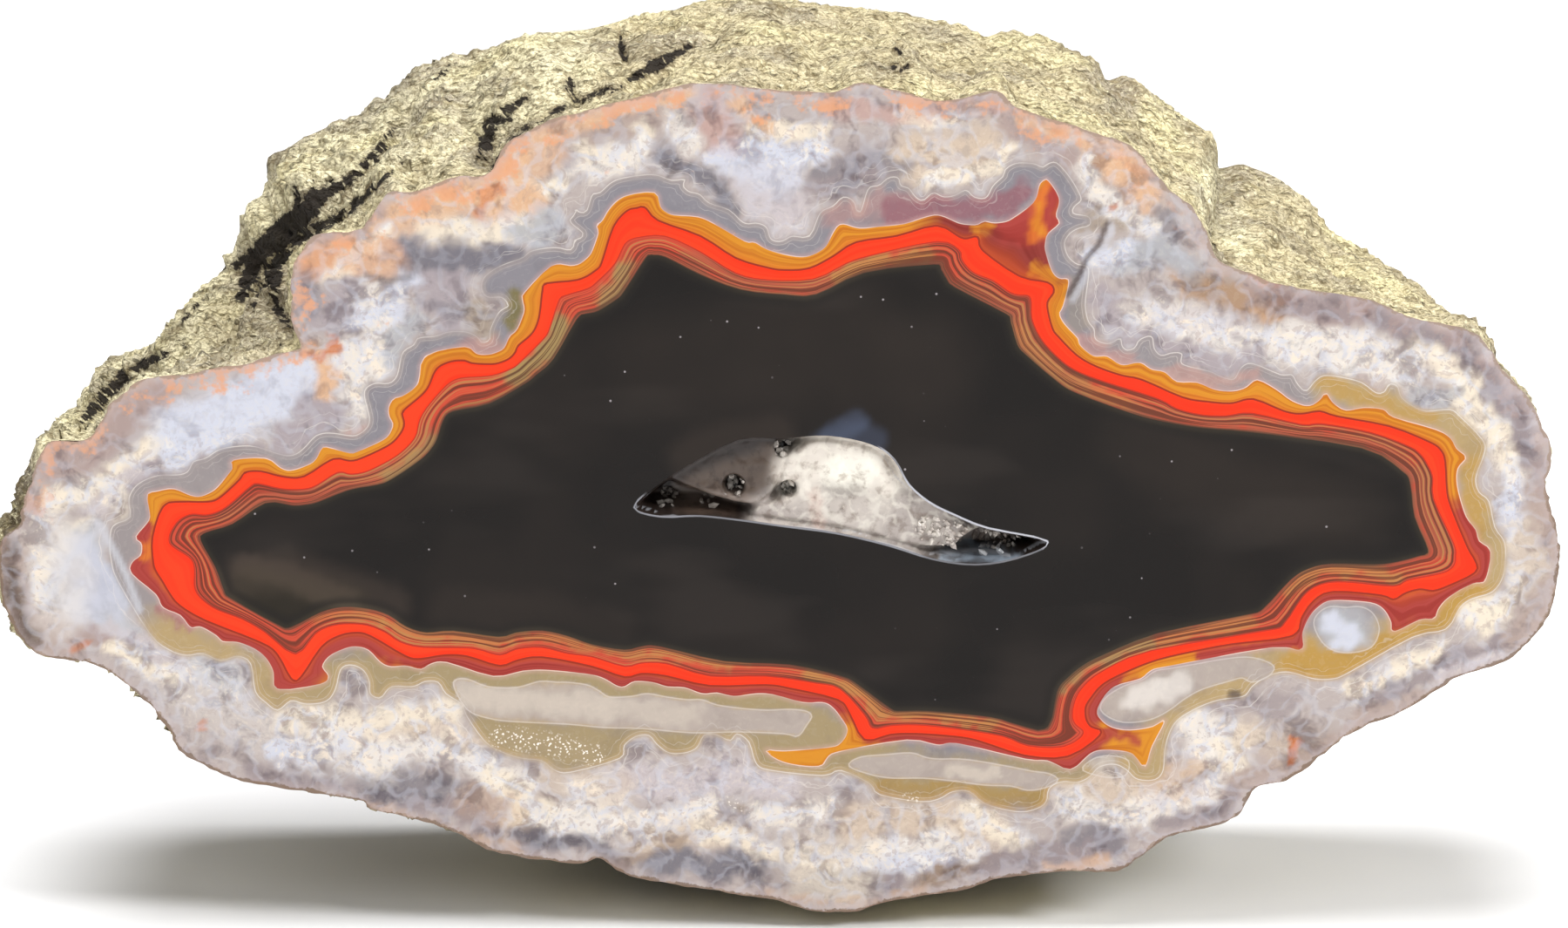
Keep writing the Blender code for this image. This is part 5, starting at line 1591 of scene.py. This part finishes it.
def skin_finish():
    finish, tree, shader = new_finish("rough_skin")
    where = place_nodes(tree)
    tint = kept_colour(tree, "skin_tint")
    to_crack = kept_value(tree, "to_crack")
    broad = speckle(tree, where, 150.0, 2.0, 0.6)
    patches = speckle(tree, where, 420.0, 4.0, 0.7)
    squeeze = tree.nodes.new("ShaderNodeMapping")
    feed(tree, squeeze.inputs["Vector"], where)
    squeeze.inputs["Scale"].default_value = (1.0, 2.2, 1.0)
    flakes = ridges(tree, pushed(tree, squeeze.outputs[0], 900.0, 0.0007), 800.0, 3.0)
    grit = speckle(tree, where, 3300.0, 3.0, 0.75)
    crumbs = cells(tree, squeeze.outputs[0], 2600.0)
    seams = ridges(tree, pushed(tree, squeeze.outputs[0], 300.0, 0.0015), 240.0, 3.0)
    colour = blend(tree, ramp_to(tree, broad, 0.5, 0.66, 0.0, 0.75), tint, TINTS["skin_yellow"])
    colour = blend(tree, ramp_to(tree, broad, 0.5, 0.34, 0.0, 0.75), colour, TINTS["skin_grey"])
    colour = blend(tree, ramp_to(tree, patches, 0.54, 0.68, 0.0, 0.6), colour, shade("C9BE97"))
    colour = blend(tree, ramp_to(tree, patches, 0.45, 0.3, 0.0, 0.6), colour, shade("A8996F"))
    # Painted shade and light on the grain, in step with the bump below: darker in the flakes' valleys, the gaps
    # between crumbs, the grit's hollows and the seams, lighter on the grit's tops. These tints are also the skin's
    # own speckle.
    colour = blend(tree, ramp_to(tree, flakes, 0.2, 0.05, 0.0, 0.75), colour, shade("6B5D40"))
    colour = blend(tree, ramp_to(tree, crumbs, 0.5, 0.72, 0.0, 0.55), colour, shade("7A6C4C"))
    colour = blend(tree, ramp_to(tree, grit, 0.54, 0.66, 0.0, 0.7), colour, shade("FBF4D2"))
    colour = blend(tree, ramp_to(tree, grit, 0.46, 0.34, 0.0, 0.65), colour, shade("75684A"))
    colour = blend(tree, ramp_to(tree, seams, 0.7, 0.9, 0.0, 0.4), colour, shade("6A5B3E"))
    # Painted shade: the skin turns dark brown near its cracks and nearly black inside them.
    ragged = sums(tree, "MULTIPLY_ADD", sums(tree, "SUBTRACT", grit, 0.5), 0.5, to_crack)
    colour = blend(tree, ramp_to(tree, ragged, 0.35, 0.0, 0.0, 0.45), colour, shade("5A4A34"))
    colour = blend(tree, ramp_to(tree, ragged, 0.07, -0.03, 0.0, 0.97), colour, shade("231C17"))
    feed(tree, shader.inputs["Base Color"], blend(tree, 1.0, colour, (0.94, 0.92, 0.86), "MULTIPLY"))
    shader.inputs["Roughness"].default_value = 0.88
    shader.inputs["IOR"].default_value = 1.5
    shader.inputs["Specular IOR Level"].default_value = 0.3
    height = sums(tree, "MULTIPLY_ADD", grit, 0.9, sums(tree, "MULTIPLY", crumbs, -0.7))
    height = sums(tree, "MULTIPLY_ADD", flakes, 1.0, height)
    height = sums(tree, "MULTIPLY_ADD", ramp_to(tree, seams, 0.6, 0.9), -0.8, height)
    feed(tree, shader.inputs["Normal"], bumpy(tree, height, 0.0003, 1.0))
    return finish


give_finish(rough_skin, skin_finish())

# %% Which way the skin's faces point
spots = np.empty(3 * len(rough_skin.data.polygons))
rough_skin.data.polygons.foreach_get("normal", spots)
facing = spots.reshape(-1, 3)
rough_skin.data.polygons.foreach_get("center", spots)
centre = spots.reshape(-1, 3)
outward = facing[:, 0] * (centre[:, 0] - middle[0]) + facing[:, 2] * (centre[:, 2] - middle[1])
if np.median(outward) < 0.0:
    rough_skin.data.flip_normals()
rough_skin.data.shade_smooth()
print("skin faces that point outwards:", round(float(max((outward > 0).mean(), (outward < 0).mean())), 3))

# %% [markdown]
# ## The crystal-lined hollow
#
# A sheet lines the hollow from edge to edge. At the left it sinks from the smoky stone into a
# narrow slit, in the middle it comes up to the face as a milky mass, and it drops again at the
# right. Small quartz crystals stand in the slit, in three holes and at the right. One crystal is
# modelled as a six-sided column with a pointed tip. Its copies are turned, sized and scattered
# by chance.

# %% The sheet that lines the hollow
CRUST_CELL = 0.00011
HOLLOW_FLOOR = 0.003
WALL_REACH_MM = 0.7
MASS_PX = [
    (893, 572), (895, 545), (903, 522), (920, 510), (942, 504), (978, 507), (1010, 518), (1032, 545),
    (1062, 568), (1096, 588), (1126, 602), (1112, 618), (1082, 632), (1040, 628), (980, 612), (930, 604),
    (890, 598), (862, 594), (868, 580),
]
SMOKY_PX = [(770, 552), (770, 540), (819, 500), (868, 496), (905, 512), (892, 560), (862, 582), (800, 566)]
MASS_DEPTH = 0.00028
SMOKY_DEPTH = 0.00022
HOLES_PX = [((842, 558), 11, 0.0011), ((905, 563), 9, 0.0012), ((899, 516), 8, 0.0009)]
RIM_LINES_PX = [
    [(1013, 523), (1028, 548), (1042, 561), (1065, 577), (1093, 592), (1132, 607), (1176, 617), (1202, 622)],
    [(748, 567), (728, 582), (760, 591), (850, 600), (900, 604), (979, 611), (1007, 621), (1057, 636)],
    [(1057, 636), (1100, 640), (1166, 639), (1202, 622)],
]
QUARTZ_STROKES = [
    ("smoke_edge", 1.0, 34, 780, 545, 820, 518, 880, 506),
    ("smoke_brown", 0.6, 17, 800, 560, 845, 544, 886, 528),
    ("smoke_brown", 0.6, 9, 846, 572, 872, 556, 888, 540),
    ("pale_smoke", 0.75, 9, 776, 576, 820, 574, 868, 580),
    ("milk_shade", 1.0, 26, 886, 590, 930, 588, 990, 594, 1050, 610),
    ("milk", 1.0, 30, 918, 545, 940, 528, 985, 526, 1018, 548), ("milk", 0.35, 20, 945, 580, 1000, 590),
    ("bright_milk", 0.9, 18, 962, 540, 992, 540),
    ("milk_shade", 0.9, 20, 1048, 580, 1078, 604, 1090, 622), ("rosy_milk", 0.6, 8, 935, 570, 940, 600),
    ("pale_smoke", 0.7, 10, 1112, 618, 1150, 624), ("slit_dark", 0.8, 5, 742, 576, 790, 585, 840, 588),
    # The three near-black strokes at the end are painted shade in the deep holes.
    ("edge_blue", 0.8, 5, 1083, 641, 1172, 640), ("painted_hole_shade", 0.85, 8, 838, 558, 846, 560),
    ("painted_hole_shade", 1.0, 7, 902, 564, 908, 562), ("painted_hole_shade", 1.0, 7, 897, 518, 903, 512),
]
TINTS["smoke_brown"] = shade("64554A")
TINTS["smoke_edge"] = shade("2F2825")
TINTS["pale_smoke"] = shade("8C7E74")
TINTS["milk"] = shade("E4DBCF")
TINTS["bright_milk"] = shade("FDF8EA")
TINTS["milk_shade"] = shade("B4AAA3")
TINTS["rosy_milk"] = shade("C4A79A")
TINTS["slit_dark"] = shade("4C3E35")
# Painted shade, for the three deep holes.
TINTS["painted_hole_shade"] = shade("0E0B0A")
TINTS["edge_blue"] = shade("8F9BA8")
TINTS["core_brown"] = shade("2B231F")

crust = flat_sheet("quartz_druse", hollow_edge, CRUST_CELL, FRONT_Y, -1.0)
druse = points_of(crust.data)
druse_seen = picture_of(druse)
wall = -signed_distance(druse_seen, smooth_ring(HOLLOW_EDGE_PX)) * PIXEL_MM
to_mass = signed_distance(druse_seen, smooth_ring(MASS_PX)) * PIXEL_MM
to_smoky = signed_distance(druse_seen, smooth_ring(SMOKY_PX)) * PIXEL_MM
depth = HOLLOW_FLOOR * soft_step(0.0, WALL_REACH_MM, wall)
in_mass = soft_step(0.3, -0.3, to_mass)
in_smoky = soft_step(0.6, -0.3, to_smoky)
depth += in_smoky * (np.minimum(depth, SMOKY_DEPTH) - depth)
depth += in_mass * (np.minimum(depth, MASS_DEPTH) - depth)
holes = np.zeros(len(druse))
for spot, radius, extra in HOLES_PX:
    away = np.hypot(*(druse_seen - spot).T)
    hole = soft_step(1.3 * radius, 0.6 * radius, away)
    depth += extra * hole
    holes = np.maximum(holes, hole)
rough = 0.00009 * noise_at(druse, 0.0013, 3.0) + 0.00005 * noise_at(druse, 0.0005, 5.0)
depth += rough * soft_step(0.1, 0.6, wall)
druse[:, 1] = FRONT_Y + np.maximum(depth, 0.00002)
place_points(crust.data, druse)
rim_gap = np.min([distance_to_run(druse_seen, np.array(line, float)) for line in RIM_LINES_PX], axis=0)
quartz_tint = filled(len(druse), "core_brown")
lay_strokes(quartz_tint, druse_seen + 0.35 * (bent_view(druse, druse_seen) - druse_seen), QUARTZ_STROKES)
keep_values(crust, "quartz_tint", quartz_tint)
keep_values(crust, "rim_gap", rim_gap * PIXEL_MM)
keep_values(crust, "milky", in_mass)
keep_values(crust, "crystal", np.zeros(len(druse)))
crust.data.shade_smooth()
print("lining:", len(crust.data.polygons), "faces")

# %% One crystal
CRYSTAL_LENGTH = 0.0008
CRYSTAL_RADIUS = 0.00024
TIP_SHARE = 0.45
pick_nothing()
bpy.ops.mesh.primitive_cone_add(
    vertices=6, radius1=CRYSTAL_RADIUS, radius2=0.0, depth=TIP_SHARE * CRYSTAL_LENGTH, end_fill_type="NOTHING"
)
crystal = bpy.context.object
crystal.name = "crystal"
tip_points = points_of(crystal.data)
tip_points[:, 2] += CRYSTAL_LENGTH * (1.0 - 0.5 * TIP_SHARE)
place_points(crystal.data, tip_points)
bpy.ops.object.mode_set(mode="EDIT")
bpy.ops.mesh.select_mode(type="EDGE")
bpy.ops.mesh.select_all(action="DESELECT")
bpy.ops.mesh.select_non_manifold()
bpy.ops.mesh.extrude_region_move(
    TRANSFORM_OT_translate={"value": (0.0, 0.0, -CRYSTAL_LENGTH * (1.0 - TIP_SHARE))}
)
bpy.ops.object.mode_set(mode="OBJECT")
print("crystal faces:", len(crystal.data.polygons))

# %% Scattering the crystals
CRYSTAL_COUNT = 220
SIZES = (0.25, 0.85)
LEAN = 0.7
NESTS_PX = [((842, 558), 13), ((904, 563), 10), ((899, 516), 9), ((1090, 618), 20), ((1150, 624), 26)]
NESTS_PX += [((765, 582), 12), ((812, 584), 8), ((1066, 606), 16)]
chance = random.Random(11)
normals = np.empty(3 * len(crust.data.vertices))
crust.data.vertices.foreach_get("normal", normals)
normals = normals.reshape(-1, 3)
weights = 0.0005 * np.ones(len(druse))
for spot, radius in NESTS_PX:
    weights += soft_step(1.2 * radius, 0.5 * radius, np.hypot(*(druse_seen - spot).T))
weights *= wall > 0.22
spots_chosen = chance.choices(range(len(druse)), weights=weights.tolist(), k=CRYSTAL_COUNT)
unit = points_of(crystal.data)
copies = []
for spot in spots_chosen:
    copy = crystal.copy()
    copy.data = crystal.data.copy()
    bpy.context.collection.objects.link(copy)
    size = chance.uniform(*SIZES)
    lean = Euler((chance.gauss(0.0, LEAN), chance.gauss(0.0, LEAN), chance.uniform(0.0, FULL_TURN)))
    aim = Vector((0.0, -1.0, 0.0)).lerp(Vector(normals[spot]), 0.4).to_track_quat("Z", "Y")
    turn = np.array(aim.to_matrix() @ lean.to_matrix())
    shaped = (unit * size) @ turn.T
    lift = FRONT_Y + 0.00006 - (druse[spot, 1] + shaped[:, 1].min())
    base = druse[spot] + np.array([0.0, max(0.0, lift), 0.0])
    place_points(copy.data, shaped + base)
    bright = chance.uniform(0.3, 1.0)
    keep_values(copy, "quartz_tint", np.tile(quartz_tint[spot], (len(unit), 1)))
    keep_values(copy, "rim_gap", np.full(len(unit), 9.0))
    keep_values(copy, "milky", np.full(len(unit), in_mass[spot]))
    keep_values(copy, "crystal", np.full(len(unit), bright))
    copies.append(copy)
bpy.data.objects.remove(crystal)
pick_nothing()
for copy in copies:
    copy.select_set(True)
crust.select_set(True)
bpy.context.view_layer.objects.active = crust
bpy.ops.object.join()
print("druse:", len(crust.data.polygons), "faces")


# %% Quartz: milky, smoky brown and clear
def quartz_finish():
    finish, tree, shader = new_finish("drusy_quartz")
    where = place_nodes(tree)
    tint = kept_colour(tree, "quartz_tint")
    milky = kept_value(tree, "milky")
    single = kept_value(tree, "crystal")
    rim_gap = kept_value(tree, "rim_gap")
    grain = speckle(tree, pushed(tree, where, 900.0, 0.0006), 1300.0, 4.0, 0.6)
    veins = ridges(tree, where, 900.0, 3.0)
    colour = blend(tree, ramp_to(tree, grain, 0.52, 0.32, 0.0, 0.7), tint, TINTS["milk_shade"], "MULTIPLY")
    grain_light = sums(tree, "MULTIPLY", ramp_to(tree, grain, 0.56, 0.68, 0.0, 0.4), milky)
    colour = blend(tree, grain_light, colour, TINTS["milk"])
    vein_light = sums(tree, "MULTIPLY", ramp_to(tree, veins, 0.55, 0.9), sums(tree, "MULTIPLY", milky, 0.3))
    colour = blend(tree, vein_light, colour, TINTS["bright_milk"])
    colour = blend(tree, sums(tree, "MULTIPLY", sums(tree, "POWER", single, 2.0), 0.6), colour, shade("E8E0D6"))
    rim = line_at(tree, rim_gap, 0.0, 0.03, 0.05)
    colour = blend(tree, sums(tree, "MULTIPLY", rim, 0.4), colour, shade("C4C6CC"))
    feed(tree, shader.inputs["Base Color"], colour)
    rough_share = sums(tree, "MULTIPLY_ADD", single, -0.25, 0.3)
    feed(tree, shader.inputs["Roughness"], sums(tree, "MAXIMUM", rough_share, 0.08))
    shader.inputs["IOR"].default_value = 1.544
    shader.inputs["Specular IOR Level"].default_value = 0.25
    shader.inputs["Transmission Weight"].default_value = 0.15
    feed(tree, shader.inputs["Normal"], bumpy(tree, grain, 0.00008, 0.5))
    return finish


give_finish(crust, quartz_finish())

# %% [markdown]
# ## Putting the pieces on the frame
#
# Each dressed piece takes the place of a solid of the frame. The face, the skin and the back
# together stand for the stone, and the druse for the crust in its hollow.

# %% Pieces, slots and what they replace
for piece, node, slot in (
    (polished_face, "agate_slice", "banded_agate"),
    (rough_skin, "agate_slice", "rough_skin"),
    (sawn_back, "agate_slice", "sawn_agate"),
    (crust, "quartz_crust", "drusy_quartz"),
):
    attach(piece, "root")
    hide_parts(node)
print("pieces on the frame:", 4)

# %% [markdown]
# ## Floor, light and camera
#
# The stone stands on a pale floor that fills the picture. A soft key light comes from the right
# and a little from above, so that the skin's relief shows, and a broad light from the front keeps
# the face evenly lit. The camera stands where the outlines were read from.

# %% Floor
FLOOR_SIZE = 6.0
pick_nothing()
bpy.ops.mesh.primitive_plane_add(size=FLOOR_SIZE)
floor = bpy.context.object
floor.name = "floor"
floor_finish, floor_tree, floor_shader = new_finish("pale_floor")
floor_shader.inputs["Base Color"].default_value = (0.86, 0.86, 0.87, 1.0)
floor_shader.inputs["Roughness"].default_value = 0.9
give_finish(floor, floor_finish)
floor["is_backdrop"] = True

# %% Lights
def soft_light(name, place, size, watts, aim=(0.0, 0.0, 0.028)):
    pick_nothing()
    bpy.ops.object.light_add(type="AREA", location=place)
    lamp = bpy.context.object
    lamp.name = name
    lamp.data.shape = "DISK"
    lamp.data.size = size
    lamp.data.energy = watts
    lamp.rotation_euler = (Vector(aim) - Vector(place)).to_track_quat("-Z", "Y").to_euler()
    return lamp


soft_light("key", (0.55, -0.25, 0.42), 0.16, 3.8)
soft_light("fill", (-0.35, -0.75, 0.75), 0.7, 2.4)
soft_light("top", (-0.1, 0.0, 0.9), 0.7, 10.6)
world = bpy.data.worlds.new("studio")
world.use_nodes = True
world.node_tree.nodes["Background"].inputs["Color"].default_value = (1.0, 1.0, 1.0, 1.0)
world.node_tree.nodes["Background"].inputs["Strength"].default_value = 0.24
bpy.context.scene.world = world

# %% Camera
bpy.ops.object.camera_add()
camera = bpy.context.object
camera.name = "camera"
camera.data.sensor_width = 36.0
camera.data.lens = VIEW_FOCAL_PX * 36.0 / PICTURE_SIZE_PX[0]
camera.data.clip_start = 0.01
aim = Vector((PICTURE_MIDDLE_X, FRONT_Y, AIM_HEIGHT))
camera.location = aim + VIEW_DISTANCE * Vector((0.0, -LOOK_AHEAD, LOOK_DOWN))
camera.rotation_euler = (math.pi / 2.0 - VIEW_ELEVATION, 0.0, 0.0)
bpy.context.scene.camera = camera
bpy.context.scene.view_settings.view_transform = "Standard"
bpy.context.scene.view_settings.look = "None"

# %% Sizes, and the end
fresh_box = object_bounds()
for corner, old, new in zip(("low", "high"), cad_box, fresh_box):
    print(corner, "mm:", [round(1000 * value, 2) for value in old], [round(1000 * value, 2) for value in new])
